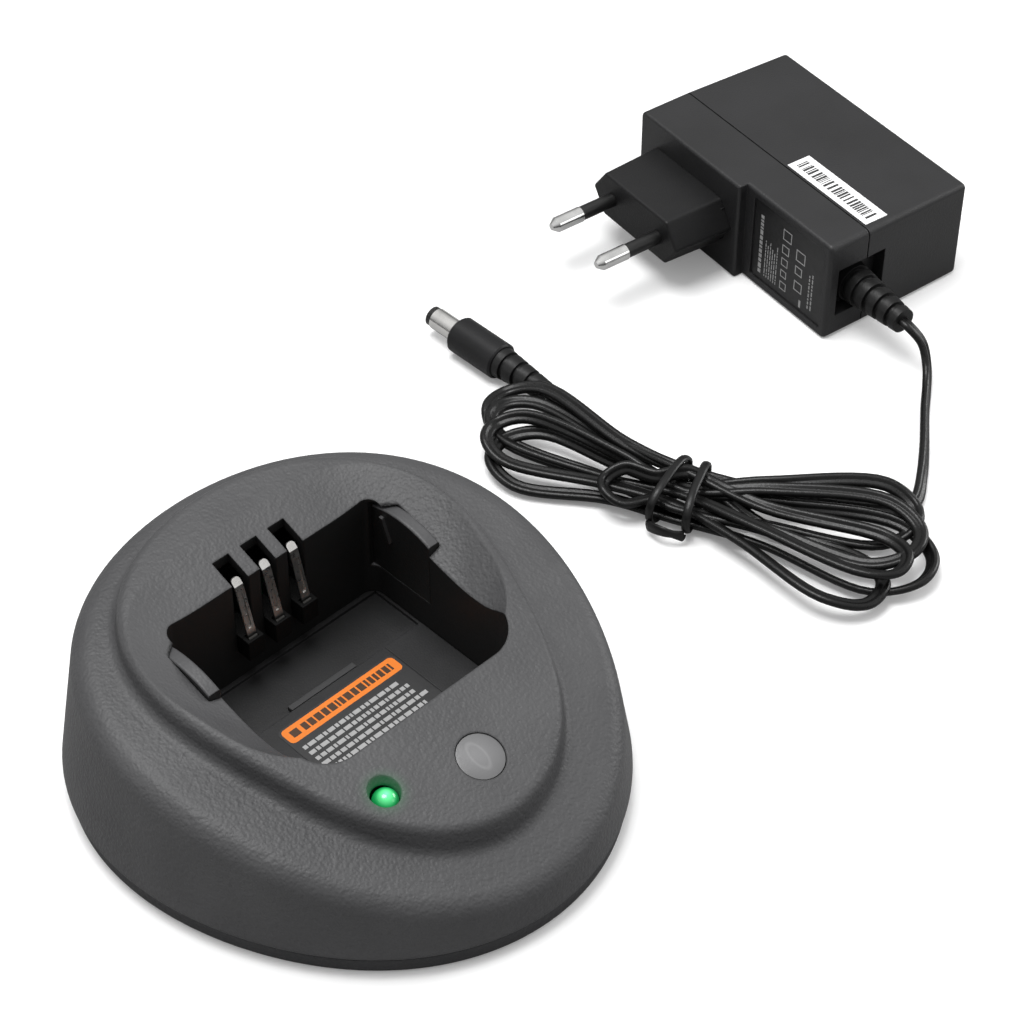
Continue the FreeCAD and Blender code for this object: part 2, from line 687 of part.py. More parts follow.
def contact_terminals():
    """Solder tails from the back of the block down to the circuit board."""
    rear = dim("well_rear") + dim("well_wall") + dim("block_flange_depth")
    top = dim("board_low") + dim("board_sheet")
    tails = []
    for word, x in contact_places():
        arm = box("arm", (x - 0.7, rear, 16), (1.4, 2.6, 0.5))
        tail = box("tail", (x - 0.7, rear + 2.1, top), (1.4, 0.5, 16 - top + 0.5))
        tails.append(fuse("terminal", [arm, tail]))
    return group("contact_terminals", tails)


# ---------------------------------------------------------------- indicator, badge and label

def lamp_surface():
    return crown_height(dim("lamp_y")) + dim("collar_height")


def light_pipe():
    body = new_body("light_pipe", Placement(Vector(dim("lamp_x"), dim("lamp_y"), 0), Rotation()))
    profile = body_sketch(body, "pipe_profile", "XZ_Plane")
    r = dim("pipe_radius")
    crest = lamp_surface() - dim("pipe_sink")
    low = crest - dim("pipe_length")
    shoulder = crest - r * 0.8
    dome = Part.Arc(Vector(0, crest, 0), Vector(r * 0.72, crest - r * 0.26, 0), Vector(r, shoulder, 0))
    profile.addGeometry(dome, False)
    corners = [(r, shoulder), (r, low), (0, low), (0, crest)]
    for a, b in zip(corners, corners[1:]):
        profile.addGeometry(Part.LineSegment(Vector(*a, 0), Vector(*b, 0)), False)
    spin(body, "pipe", profile)
    return body


def indicator_board_low():
    return lamp_surface() - dim("pipe_sink") - dim("pipe_length") - 4.4


def indicator_parts():
    """Small board under the apron, with the light-emitting diode on it."""
    x, y = dim("lamp_x"), dim("lamp_y")
    top = indicator_board_low() + 1.2
    board = box("indicator_plate", (x - 6, y - 5, top - 1.2), (12, 10, 1.2))
    group("indicator_board", [board])
    lamp = cylinder("diode", (x, y, top), 1.6, 2.6)
    group("status_led", [lamp])


def round_badge():
    """Flush disc with a slightly crowned face."""
    body = new_body("round_badge", badge_place(-dim("badge_thickness")))
    profile = body_sketch(body, "badge_profile", "XZ_Plane")
    r, h, crown = dim("badge_radius"), dim("badge_thickness"), dim("badge_crown")
    edge = h - 0.2
    profile.addGeometry(Part.Arc(Vector(0, h + crown - 0.2, 0), Vector(r * 0.55, edge + crown * 0.7, 0),
                                 Vector(r, edge, 0)), False)
    corners = [(r, edge), (r, 0), (0, 0), (0, h + crown - 0.2)]
    for a, b in zip(corners, corners[1:]):
        profile.addGeometry(Part.LineSegment(Vector(*a, 0), Vector(*b, 0)), False)
    spin(body, "disc", profile)
    return body


def pocket_label():
    body = new_body("pocket_label")
    outline = body_sketch(body, "label_outline", offset="{well_floor}")
    rounded_rectangle(outline, dim("pocket_label_left"), dim("pocket_label_right"), -18.0, 8.0, [1.6] * 4)
    pad(body, "label_sheet", outline, 0.12)
    return body


# ---------------------------------------------------------------- bottom cover

def bottom_cover():
    """Base plate with a rim, a locating lip, screw bosses, foot recesses and board posts."""
    body = new_body("bottom_cover")
    low = dim("cover_bottom")
    outline = body_sketch(body, "plate_outline", offset="{cover_bottom}")
    base_outline(outline, dim("cover_inset"))
    plate = pad(body, "plate", outline, "{seam_bottom} - {cover_bottom}")
    soften(body, "plate_edge", plate, 0.8, lambda e: e.BoundBox.ZMax < low + 0.01)
    hollow = body_sketch(body, "hollow_outline", offset="{seam_bottom}")
    base_outline(hollow, dim("cover_inset") + dim("cover_rim"))
    pocket(body, "hollow", hollow, "{seam_bottom} - {cover_bottom} - {cover_floor}")
    lip = body_sketch(body, "lip_outline", offset="{cover_bottom} + {cover_floor}")
    base_outline(lip, dim("lip_inset") + 0.2)
    base_outline(lip, dim("lip_inset") + 0.2 + dim("lip_width"))
    pad(body, "lip", lip, "{lip_top} - {cover_bottom} - {cover_floor}")
    bosses = body_sketch(body, "boss_outline", offset="{cover_bottom} + {cover_floor} - 0.5")
    for x, y in screw_places():
        bosses.addGeometry(Part.Circle(Vector(x, y, 0), Vector(0, 0, 1), dim("boss_radius")), False)
    pad(body, "bosses", bosses, "{seam_top} + 0.8 - {cover_bottom} - {cover_floor} + 0.5")
    board_posts = body_sketch(body, "board_post_outline", offset="{cover_bottom} + {cover_floor} - 0.5")
    for x, y in board_screw_places():
        board_posts.addGeometry(Part.Circle(Vector(x, y, 0), Vector(0, 0, 1), 2.4), False)
    pad(body, "board_posts", board_posts, "{board_low} - {cover_bottom} - {cover_floor} + 0.5")
    lamp_posts = body_sketch(body, "indicator_post_outline", offset="{cover_bottom} + {cover_floor} - 0.5")
    for dx in (-4.5, 4.5):
        middle = Vector(dim("lamp_x") + dx, dim("lamp_y"), 0)
        lamp_posts.addGeometry(Part.Circle(middle, Vector(0, 0, 1), 1.4), False)
    reach = indicator_board_low() - dim("cover_bottom") - dim("cover_floor") + 0.5
    pad(body, "indicator_posts", lamp_posts, reach)
    rests = body_sketch(body, "rest_outline", offset="{cover_bottom} + {cover_floor} - 0.5")
    for x in (-20, 20):
        for y in (-16, 20):
            rests.addGeometry(Part.Circle(Vector(x, y, 0), Vector(0, 0, 1), 3), False)
    pad(body, "tray_rests", rests, "{tray_bottom} - {cover_bottom} - {cover_floor} + 0.5")
    holes = body_sketch(body, "screw_holes", offset="{cover_bottom} - 1")
    for x, y in screw_places():
        holes.addGeometry(Part.Circle(Vector(x, y, 0), Vector(0, 0, 1), dim("screw_shank") + 0.2), False)
    pocket(body, "screw_ways", holes, "10", reverse=True)
    sinks = body_sketch(body, "screw_sinks", offset="{cover_bottom} - 1")
    for x, y in screw_places():
        sinks.addGeometry(Part.Circle(Vector(x, y, 0), Vector(0, 0, 1), dim("screw_head") + 0.2), False)
    pocket(body, "head_ways", sinks, "{screw_head_height} + 1.2", reverse=True)
    feet = body_sketch(body, "foot_outline", offset="{cover_bottom} - 1")
    for x, y in foot_places():
        feet.addGeometry(Part.Circle(Vector(x, y, 0), Vector(0, 0, 1), dim("foot_radius") + 0.1), False)
    pocket(body, "foot_recesses", feet, "{foot_height} - {cover_bottom} + 1", reverse=True)
    pilots = body_sketch(body, "board_pilots", offset="{board_low} + 1")
    for x, y in board_screw_places():
        pilots.addGeometry(Part.Circle(Vector(x, y, 0), Vector(0, 0, 1), 1.1), False)
    pocket(body, "board_screw_ways", pilots, "4.4")
    return body


def foot_places():
    x, y = dim("foot_x"), dim("foot_y")
    return [(-x, y), (x, y), (-x * 0.7, -y - 9), (x * 0.7, -y - 9)]


def board_screw_places():
    rear = dim("board_rear") - 4
    front = dim("board_front") + 4
    wide = dim("board_front_half") - 5
    return [(-wide, front), (wide, front), (-16, rear), (16, rear)]


def rubber_feet():
    feet = []
    for x, y in foot_places():
        feet.append(cylinder("foot", (x, y, 0), "{foot_radius}", "{foot_height}"))
    form = group("rubber_feet", feet)
    return form


def screw(name, x, y, head_low, head_radius, head_height, shank_radius, length, downward=False):
    """Pan-head screw with a cross recess; the head is below the shank unless it points down."""
    sign = -1 if downward else 1
    head = cylinder(name + "_head", (x, y, head_low if not downward else head_low - head_height),
                    head_radius, head_height)
    shank_low = head_low + head_height if not downward else head_low - head_height - length
    shank = cylinder(name + "_shank", (x, y, shank_low), shank_radius, length)
    face = head_low if not downward else head_low - 0.8
    slots = []
    for dx, dy in ((head_radius * 1.2, 0.6), (0.6, head_radius * 1.2)):
        slots.append(box(name + "_slot", (x - dx / 2, y - dy / 2, face), (dx, dy, 0.8)))
    return cut(name, fuse(name + "_form", [head, shank]), slots)


def housing_screws():
    screws = []
    low = dim("cover_bottom") + 0.2
    for x, y in screw_places():
        screws.append(screw("housing_screw", x, y, low, dim("screw_head"), dim("screw_head_height"),
                            dim("screw_shank"), dim("screw_length")))
    return group("housing_screws", screws)


def board_screws():
    screws = []
    top = dim("board_low") + dim("board_sheet")
    for x, y in board_screw_places():
        screws.append(screw("board_screw", x, y, top + 1.3, 2.0, 1.3, 1.05, 4.6, downward=True))
    return group("board_screws", screws)


# ---------------------------------------------------------------- circuit board and its parts

def main_board():
    body = new_body("main_board")
    outline = body_sketch(body, "board_outline", offset="{board_low}")
    front, rear = dim("board_front"), dim("board_rear")
    wide, narrow = dim("board_front_half"), dim("board_rear_half")
    closed_lines(outline, [(-wide, front), (wide, front), (wide, front + 8), (narrow, rear),
                           (-narrow, rear), (-wide, front + 8)])
    pad(body, "board", outline, "{board_sheet}")
    holes = body_sketch(body, "board_holes", offset="{board_low}")
    for x, y in board_screw_places():
        holes.addGeometry(Part.Circle(Vector(x, y, 0), Vector(0, 0, 1), 1.3), False)
    pocket(body, "board_screw_holes", holes, "{board_sheet}", reverse=True)
    return body


def board_parts():
    top = dim("board_low") + dim("board_sheet")
    group("charge_controller", [box("chip", (3.5, 33.8, top), (8.6, 8.6, 1.6))])
    x, y = -13, 37.6
    core = cylinder("core", (x, y, top), 5.2, 5.4)
    spool = cylinder("ring_core", (x, y, top), 4.2, 6)
    ring = cut("inductor_waist", cylinder("ring", (x, y, top + 1.2), 6, 3), [spool])
    group("power_inductor", [cut("inductor_form", core, [ring])])
    cans = [cylinder("can", (x, 39.2, top), 3.0, 9.5) for x in (-29.3, -22.3)]
    group("filter_capacitors", cans)
    base = box("sink_base", (20, 36.5, top), (9, 8, 1.2))
    fins = [box("fin", (20 + 2.6 * k, 36.5, top + 1.0), (1.2, 8, 7)) for k in range(4)]
    group("heat_sink", [fuse("sink", [base] + fins)])


def dc_jack():
    """Barrel socket: a moulded case with a bore, and the centre pin in it."""
    top = dim("board_low") + dim("board_sheet")
    half = dim("jack_width") / 2
    mouth = dim("jack_mouth")
    z = jack_axis_height()
    corner = (-half, mouth - dim("jack_length"), top)
    case = box("jack_case", corner, ("{jack_width}", "{jack_length}", "{jack_height}"))
    bore = cylinder("jack_bore_way", (0, mouth - 10, z), "{jack_bore}", 12, "+Y")
    group("dc_jack", [cut("jack_form", case, [bore])])
    group("dc_jack_pin", [cylinder("jack_centre", (0, mouth - 10, z), "{jack_pin}", 8.5, "+Y")])


# ---------------------------------------------------------------- adapter

def adapter_place():
    turn = Rotation(Vector(0, 0, 1), dim("adapter_turn"))
    return Placement(Vector(dim("adapter_x"), dim("adapter_y"), 0), turn)


def adapter_section(sketch, margin, low_margin=None):
    """Long rounded rectangle of the adapter, seen along the pins."""
    low = margin if low_margin is None else low_margin
    radius = max(dim("adapter_round") - margin * 0.4, 0.6)
    rounded_rectangle(sketch, margin, dim("adapter_length") - margin, low,
                      dim("adapter_height") - margin, [radius] * 4)
    return sketch


def outlet_box(name, grow):
    """Room for the cord outlet, cut into the cable end of both shells."""
    front = -dim("outlet_front")
    return box(name, (dim("adapter_length") - dim("outlet_depth"), front, "{outlet_low}"),
               (10, "{outlet_front} + {outlet_rear}", "{outlet_high} - {outlet_low}"))


def adapter_rear_shell():
    """Deep shell behind the seam, open towards the front cover."""
    sections = []
    ends = [("near", dim("adapter_seam") / 2, 0), ("far", dim("shell_depth"), dim("shell_taper"))]
    for tag, y, margin in ends:
        sketch = doc_sketch("shell_" + tag, Placement(Vector(0, y, 0), Rotation(Vector(1, 0, 0), 90)))
        adapter_section(sketch, margin, 0)
        sections.append(sketch)
    form = loft("shell_form", sections)

    def far_edge(edge):
        return edge.BoundBox.YMin > dim("shell_depth") - 0.01

    form = rounded("shell_rounded", form, [(1.0, far_edge)])
    wall = dim("adapter_wall")
    inner_round = box("shell_room", (wall, -1, wall),
                      ("{adapter_length} - 2 * {adapter_wall}", "{shell_depth} - {adapter_wall} + 0.2",
                       "{adapter_height} - 2.4 * {adapter_wall}"))
    outlet_wall = box("outlet_liner", (dim("adapter_length") - dim("outlet_depth") - 1.6, -2, 1),
                      (12, dim("outlet_rear") + 3.6, "{outlet_high} + 1"))
    room = cut("shell_cavity", inner_round, [outlet_wall])
    shell = cut("rear_shell_form", form, [room, outlet_box("rear_outlet", 0)])
    group("adapter_rear_shell", [shell], adapter_place())


def adapter_front_cover():
    """Shallow cover in front of the seam, with the plug plinth, the label recess and the outlet."""
    body = new_body("adapter_front_cover", adapter_place())
    seam = dim("adapter_seam") / 2
    section = body_sketch(body, "cover_section", "XZ_Plane", "{adapter_seam} / 2")
    adapter_section(section, 0)
    cover = pad(body, "cover", section, "{cover_depth} - {adapter_seam} / 2")

    def front_edge(edge):
        return edge.BoundBox.YMax < 0.01 - dim("cover_depth")

    soften(body, "cover_edge", cover, 1.0, front_edge)
    plinth = body_sketch(body, "plinth_section", "XZ_Plane", "{cover_depth} - 2")
    around, inner = dim("adapter_round"), 0.4
    corners = [around, inner, inner, around]
    rounded_rectangle(plinth, 0, dim("plinth_length"), 0, dim("adapter_height"), corners)
    face = pad(body, "plinth", plinth, "{plinth_proud} + 2")

    def plinth_edge(edge):
        return edge.BoundBox.YMax < 0.01 - dim("cover_depth") - dim("plinth_proud")

    soften(body, "plinth_edge", face, 0.8, plinth_edge)
    label = body_sketch(body, "label_recess_outline", "XZ_Plane", "{cover_depth} + 5")
    edges = [dim("label_" + word) for word in ("left", "right", "low", "high")]
    rounded_rectangle(label, *edges, [1.0] * 4)
    pocket(body, "label_recess", label, "{label_recess} + 5")
    wall = dim("adapter_wall")
    room = body_sketch(body, "cover_room", "XZ_Plane", "-2")
    left = wall
    right = dim("adapter_length") - dim("outlet_depth") - 2.6
    rounded_rectangle(room, left, right, wall, dim("adapter_height") - wall, [0.8] * 4)
    pocket(body, "hollow", room, "{cover_depth} - {adapter_wall} - 0.8 + 2", reverse=True)
    tongue = body_sketch(body, "tongue_way", "XZ_Plane", "{cover_depth} + 10")
    x, z = dim("plug_centre"), dim("adapter_height") / 2
    half_w, half_h = dim("plug_width") / 2 - 3 + 0.05, dim("plug_height") / 2 - 2 + 0.05
    closed_lines(tongue, [(x - half_w, z - half_h), (x + half_w, z - half_h),
                          (x + half_w, z + half_h), (x - half_w, z + half_h)])
    pocket(body, "plug_way", tongue, "14")
    outlet = body_sketch(body, "outlet_outline", "XY_Plane", "{outlet_high}")
    end = dim("adapter_length")
    inner, front = end - dim("outlet_depth"), -dim("outlet_front")
    corners = [(inner, front + 1.8), (end - 0.5, front), (end + 1, front), (end + 1, 1), (inner, 1)]
    closed_lines(outlet, corners)
    pocket(body, "outlet", outlet, "{outlet_high} - {outlet_low}")
    return body


def hexagon(sketch, x, z, half_width, half_height, bevel):
    """Flat plug outline with bevelled ends."""
    flat = half_width - bevel
    points = [(x - half_width, z), (x - flat, z - half_height), (x + flat, z - half_height),
              (x + half_width, z), (x + flat, z + half_height), (x - flat, z + half_height)]
    return closed_lines(sketch, points)


def plug_block():
    """Flat two-pin plug body with bevelled ends; it tapers a little towards its face."""
    z = dim("adapter_height") / 2
    x = dim("plug_centre")
    back = -dim("cover_depth") - dim("plinth_proud")
    face = back - dim("plug_depth")
    sections = []
    for tag, y, inset in (("back", back, 0), ("face", face, dim("plug_taper"))):
        sketch = doc_sketch("plug_" + tag, Placement(Vector(0, y, 0), Rotation(Vector(1, 0, 0), 90)))
        half_width = dim("plug_width") / 2 - inset
        half_height = dim("plug_height") / 2 - inset * 0.6
        hexagon(sketch, x, z, half_width, half_height, dim("plug_bevel"))
        sections.append(sketch)
    form = loft("plug_form", sections)

    def long_edge(edge):
        return edge.BoundBox.YLength > 5

    def face_edge(edge):
        return edge.BoundBox.YMax < face + 0.01

    form = rounded("plug_rounded", form, [(1.0, long_edge), (0.7, face_edge)])
    half_w, half_h = dim("plug_width") / 2 - 3, dim("plug_height") / 2 - 2
    tongue = box("plug_tongue_block", (x - half_w, back - 1, z - half_h),
                 (2 * half_w, dim("plug_tongue") + 1, 2 * half_h))
    solid = fuse("plug_solid", [form, tongue])
    ways = []
    for side in (-1, 1):
        centre = x + side * dim("pin_pitch") / 2
        ways.append(cylinder("pin_way", (centre, face - 1, z), dim("pin_core"), 40, "+Y"))
        ways.append(cylinder("sleeve_way", (centre, face - 1, z), "{sleeve_radius}", 5, "+Y"))
    group("plug_block", [cut("plug_block_form", solid, ways)], adapter_place())


def plug_pins():
    """Two pins with a bright tip and a thinner core that carries the insulating sleeve."""
    z = dim("adapter_height") / 2
    face = -dim("cover_depth") - dim("plinth_proud") - dim("plug_depth")
    tip = face - dim("pin_length")
    bare = dim("pin_length") - dim("sleeve_length")
    pins = []
    sleeves = []
    for side in (-1, 1):
        x = dim("plug_centre") + side * dim("pin_pitch") / 2
        nose = cone("pin_nose", (x, tip, z), 0.9, "{pin_radius}", 1.6, "+Y")
        bright = cylinder("pin_bright", (x, tip + 1.6, z), "{pin_radius}", bare - 1.6, "+Y")
        reach = dim("sleeve_length") + dim("plug_depth") + dim("plug_tongue") + dim("pin_tail")
        core = cylinder("pin_core_rod", (x, tip + bare - 0.5, z), "{pin_core}", reach + 0.5, "+Y")
        pins.append(fuse("pin", [nose, bright, core]))
        tube = cylinder("sleeve_tube", (x, tip + bare, z), "{sleeve_radius}", dim("sleeve_length") + 4, "+Y")
        hole = cylinder("sleeve_hole", (x, tip + bare - 1, z), "{pin_core}", dim("sleeve_length") + 8, "+Y")
        sleeves.append(cut("sleeve", tube, [hole]))
    group("plug_pins", pins, adapter_place())
    group("pin_sleeves", sleeves, adapter_place())


def adapter_labels():
    face = -dim("cover_depth") + dim("label_recess")
    margin = 0.3
    corner = (dim("label_left") + margin, face - dim("label_sheet"), dim("label_low") + margin)
    plate = box("rating_plate", corner,
                (dim("label_right") - dim("label_left") - 2 * margin, "{label_sheet}",
                 dim("label_high") - dim("label_low") - 2 * margin))
    group("rating_label", [plate], adapter_place())
    strip = box("sticker", ("{sticker_left}", dim("adapter_seam") + 0.4, "{adapter_height} + 0.02"),
                ("{sticker_length}", "{sticker_width}", "{sticker_sheet}"))
    turn = Rotation(Vector(1, 0, 0), -math.degrees(math.atan2(dim("shell_taper"), dim("shell_depth"))))
    strip.Placement = Placement(strip.Placement.Base, turn)
    group("barcode_sticker", [strip], adapter_place())


def ringed_profile(sketch, root, end, length, rings, groove):
    """Half section of a tapered bend relief with shallow square grooves, along +X."""
    step = length / (rings + 0.5)
    depth = dim("relief_groove_depth")
    points = [(0, 0), (0, root)]
    for k in range(rings):
        a = step * (k + 0.55)
        b = a + groove
        ra = root + (end - root) * a / length
        rb = root + (end - root) * b / length
        points += [(a, ra), (a, ra - depth), (b, rb - depth), (b, rb)]
    points += [(length, end), (length, 0)]
    return closed_lines(sketch, points)


def adapter_strain_relief():
    place = adapter_place()
    start = dim("adapter_length") - dim("outlet_depth") + 0.1
    local = Placement(Vector(start, dim("relief_y"), dim("relief_z")), Rotation())
    body = new_body("adapter_strain_relief", place.multiply(local))
    profile = body_sketch(body, "relief_profile", "XY_Plane")
    ringed_profile(profile, dim("relief_root"), dim("relief_end"), dim("relief_length"),
                   int(dim("relief_rings")), dim("relief_groove"))
    spin(body, "relief", profile, "H_Axis")
    return body


def adapter_inside():
    """Circuit board, transformer, capacitors, rectifier heat sink and the springs that touch the pins."""
    place = adapter_place()
    wall = dim("adapter_wall")
    length = dim("adapter_length")
    board = box("supply_plate", (wall + 1, 5, wall + 2.2), (length - 2 * wall - 9, 24.4, 1.6))
    group("adapter_board", [board], place)
    top = wall + 2.2 + 1.6
    core = box("core_block", (27, 9, top), (17, 16, 16))
    winding = box("winding", (29.5, 6.5, top + 3.5), (12, 21, 9))
    group("transformer", [fuse("transformer_form", [core, winding])], place)
    can_places = ((11, 21, 5.5), (54, 12.5, 4), (54, 22.5, 4))
    cans = [cylinder("supply_can", (x, y, top), r, 15) for x, y, r in can_places]
    group("adapter_capacitors", cans, place)
    group("adapter_heat_sink", [box("sink_plate", (47, 7, top), (1.5, 18, 14))], place)
    inner = -dim("cover_depth") - dim("plinth_proud") + dim("plug_tongue") + dim("pin_tail")
    springs = []
    for side in (-1, 1):
        x = dim("plug_centre") + side * dim("pin_pitch") / 2
        springs.append(box("spring_strip", (x - 2, inner + 0.05, 9), (4, 0.5, 10)))
        springs.append(box("spring_tail", (x - 1, inner + 0.6, 9), (2, 4.9 - inner, 0.6)))
    pairs = [fuse("pin_spring", springs[:2]), fuse("pin_spring", springs[2:])]
    group("pin_contact_springs", pairs, place)


# ---------------------------------------------------------------- barrel plug

def dc_place(offset):
    """Frame of the barrel plug: it lies on the bench along +Y."""
    return Placement(Vector(dim("dc_x"), dim("dc_y") + offset, dim("dc_radius")), Rotation())


def dc_plug():
    length = dim("dc_body_length")
    body = new_body("dc_plug_body", dc_place(0))
    profile = body_sketch(body, "grip_profile", "XY_Plane")
    r = dim("dc_radius")
    neck = dim("dc_barrel_bore") + 0.2
    closed_lines(profile, [(0, 0), (r - 0.4, 0), (r, 0.5), (r, length - 0.6), (r - 0.5, length),
                           (neck, length), (neck, length - 6), (0, length - 6)])
    spin(body, "grip", profile, "V_Axis")

    tail = new_body("dc_plug_strain_relief", dc_place(-0.02))
    relief = body_sketch(tail, "dc_relief_profile", "XY_Plane")
    points = [(0, 0), (0, -dim("dc_relief_length")), (dim("dc_relief_end"), -dim("dc_relief_length"))]
    rings = int(dim("dc_rings"))
    step = dim("dc_relief_length") / (rings + 0.7)
    root = r - 0.7
    for k in reversed(range(rings)):
        for shift, dip in ((1.2, 0), (1.2, 0.8), (0, 0.8), (0, 0)):
            y = step * (k + 0.5) + shift
            radius = root + (dim("dc_relief_end") - root) * y / dim("dc_relief_length")
            points.append((radius - dip, -y))
    points.append((root, 0))
    closed_lines(relief, points)
    spin(tail, "dc_relief", relief, "V_Axis")

    start = length - 5.9
    bore = dim("dc_barrel_bore")
    root = cylinder("barrel_root", (0, start, 0), bore + 0.2, 6.0, "+Y")
    tube = cylinder("barrel_tube", (0, length, 0), "{dc_barrel}", "{dc_barrel_length}", "+Y")
    hole = cylinder("barrel_hole", (0, start + 2, 0), bore, 20, "+Y")
    group("dc_plug_barrel", [cut("barrel_form", fuse("barrel_solid", [root, tube]), [hole])], dc_place(0))
    end = length + dim("dc_barrel_length")
    ring = cylinder("tip_ring", (0, end, 0), "{dc_barrel} - 0.2", "{dc_tip_length}", "+Y")
    stem = cylinder("tip_stem", (0, end - 6, 0), bore - 0.02, 6.5, "+Y")
    socket = cylinder("tip_socket", (0, end - 5, 0), "{dc_socket}", 10, "+Y")
    tip = cut("insulator_form", fuse("insulator_solid", [ring, stem]), [socket])
    group("dc_plug_insulator", [tip], dc_place(0))


# ---------------------------------------------------------------- cord

def cord_points():
    """Middle line of the run from the adapter to the tied bundle."""
    place = adapter_place()
    x = dim("adapter_length") - dim("outlet_depth") + 0.1 + dim("relief_length") + 0.5
    start = place.multVec(Vector(x, dim("relief_y"), dim("relief_z")))
    ahead = place.Rotation.multVec(Vector(1, 0, 0))
    rest = dim("cord_half") + 0.25
    points = [start, start + ahead * 2.5, start + ahead * 6 + Vector(-0.5, 0, -1.9), Vector(182.6, -4.6, 5.4),
              Vector(177.6, -9.4, rest + 0.9), Vector(171.5, -14.2, rest), Vector(158.5, -24.3, rest),
              Vector(146.0, -32.6, rest + 0.5), Vector(137.5, -36.0, rest + 1.8)]
    return points


def swept_cord(name, points):
    """Round cord along a smooth curve through the points."""
    curve = Part.BSplineCurve()
    curve.interpolate(points)
    path = doc.addObject("Part::Feature", name + "_path")
    path.Shape = curve.toShape()
    ring = doc.addObject("Part::Circle", name + "_section")
    bind(ring, "Radius", "{cord_half}")
    heading = curve.tangent(curve.FirstParameter)[0]
    ring.Placement = Placement(points[0], Rotation(Vector(0, 0, 1), heading))
    sweep = doc.addObject("Part::Sweep", name)
    sweep.Sections = [ring]
    sweep.Spine = (path, ["Edge1"])
    sweep.Solid = True
    sweep.Frenet = False
    return sweep


def bundle_outline(sketch):
    """Dumb-bell outline of the tied bundle: a wide rear lobe, a waist and a wide front lobe."""
    rear, waist, front = Vector(92.5, 49, 0), Vector(104.5, 4.0, 0), Vector(126.0, -41.0, 0)
    axis = (front - rear).normalize()
    across = Vector(-axis.y, axis.x, 0)
    half = dim("bundle_waist")
    points = [rear - axis * 10, rear - axis * 3 + across * 7.6, rear + axis * 12 + across * 11.6,
              waist + across * half, front - axis * 14 + across * 12.5, front + across * 12.5,
              front + axis * 8.0, front - across * 12.0, front - axis * 14 - across * 13.5,
              waist - across * half, rear + axis * 12 - across * 12.0, rear - axis * 3 - across * 11.0]
    curve = Part.BSplineCurve()
    curve.interpolate(points, PeriodicFlag=True)
    sketch.addGeometry(curve, False)
    return waist, axis, across


def power_cord():
    """Cord with its tied bundle as one simple solid."""
    sketch = doc_sketch("bundle_plan", at_height(dim("bundle_low")))
    bundle_outline(sketch)
    lump = doc.addObject("Part::Extrusion", "bundle_lump")
    lump.Base = sketch
    lump.DirMode = "Custom"
    lump.Dir = Vector(0, 0, 1)
    bind(lump, "LengthFwd", "{bundle_height}")
    lump.Solid = True
    form = rounded("bundle_rounded", lump, [(dim("bundle_round"), lambda e: e.Length > 50)])
    run = swept_cord("cord_run", cord_points())
    end = Vector(dim("dc_x"), dim("dc_y") - dim("dc_relief_length") - 0.3, dim("dc_radius"))
    tail = swept_cord("cord_tail", [end, end + Vector(0, -3, 0), end + Vector(-0.3, -9, -0.4),
                                    end + Vector(-1.5, -16, -0.6)])
    group("power_cord", [fuse("cord_form", [form, run, tail])])


def cord_tie():
    """Two turns of flat tie around the waist of the bundle."""
    sketch = doc_sketch("tie_waist")
    waist, axis, across = bundle_outline(sketch)
    angle = math.degrees(math.atan2(axis.y, axis.x))
    t, gap = dim("tie_sheet"), dim("tie_gap")
    half = dim("bundle_waist") + gap
    low, high = dim("bundle_low") - gap, dim("bundle_low") + dim("bundle_height") + gap
    turns = []
    for shift in (-3.2, 3.2):
        place = Placement(waist + axis * shift, Rotation(Vector(0, 0, 1), angle))
        size = ("{tie_width}", 2 * (half + t + 0.9), high - low + 2 * t)
        outer = box("tie_outer", (-1.5, -half - t - 0.9, low - t), size)
        inner = box("tie_inner", (-2.5, -half - 0.9, low), (5, 2 * (half + 0.9), high - low))
        band = cut("tie_band", outer, [inner])
        soft = rounded("tie_soft", band, [(0.9, lambda e: e.BoundBox.XLength > 2 and e.Length < 4)])
        soft.Placement = place
        turns.append(soft)
    group("cord_tie", turns)


# ---------------------------------------------------------------- build, check and write

top_housing()
bottom_cover()
rubber_feet()
housing_screws()
pocket_floor()
guide_rail("left", -1)
guide_rail("right", 1)
contact_block()
contact_terminals()
for word, x in contact_places():
    leaf_contact(word, x)
light_pipe()
indicator_parts()
round_badge()
pocket_label()
main_board()
board_parts()
board_screws()
dc_jack()
adapter_rear_shell()
adapter_front_cover()
plug_block()
plug_pins()
adapter_labels()
adapter_strain_relief()
adapter_inside()
dc_plug()
power_cord()
cord_tie()
doc.recompute()

for obj in doc.Objects:
    if any(word in obj.State for word in ("Invalid", "Error")):
        raise RuntimeError(f"{obj.Label} failed: {obj.State}")
for obj in nodes:
    if obj.Shape.isNull() or not obj.Shape.isValid() or not obj.Shape.Solids:
        raise RuntimeError(f"{obj.Label} has no valid solid")

os.makedirs("parts", exist_ok=True)
for obj in nodes:
    obj.Shape.exportStep(f"parts/{obj.Label}.step")
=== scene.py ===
import math
import random

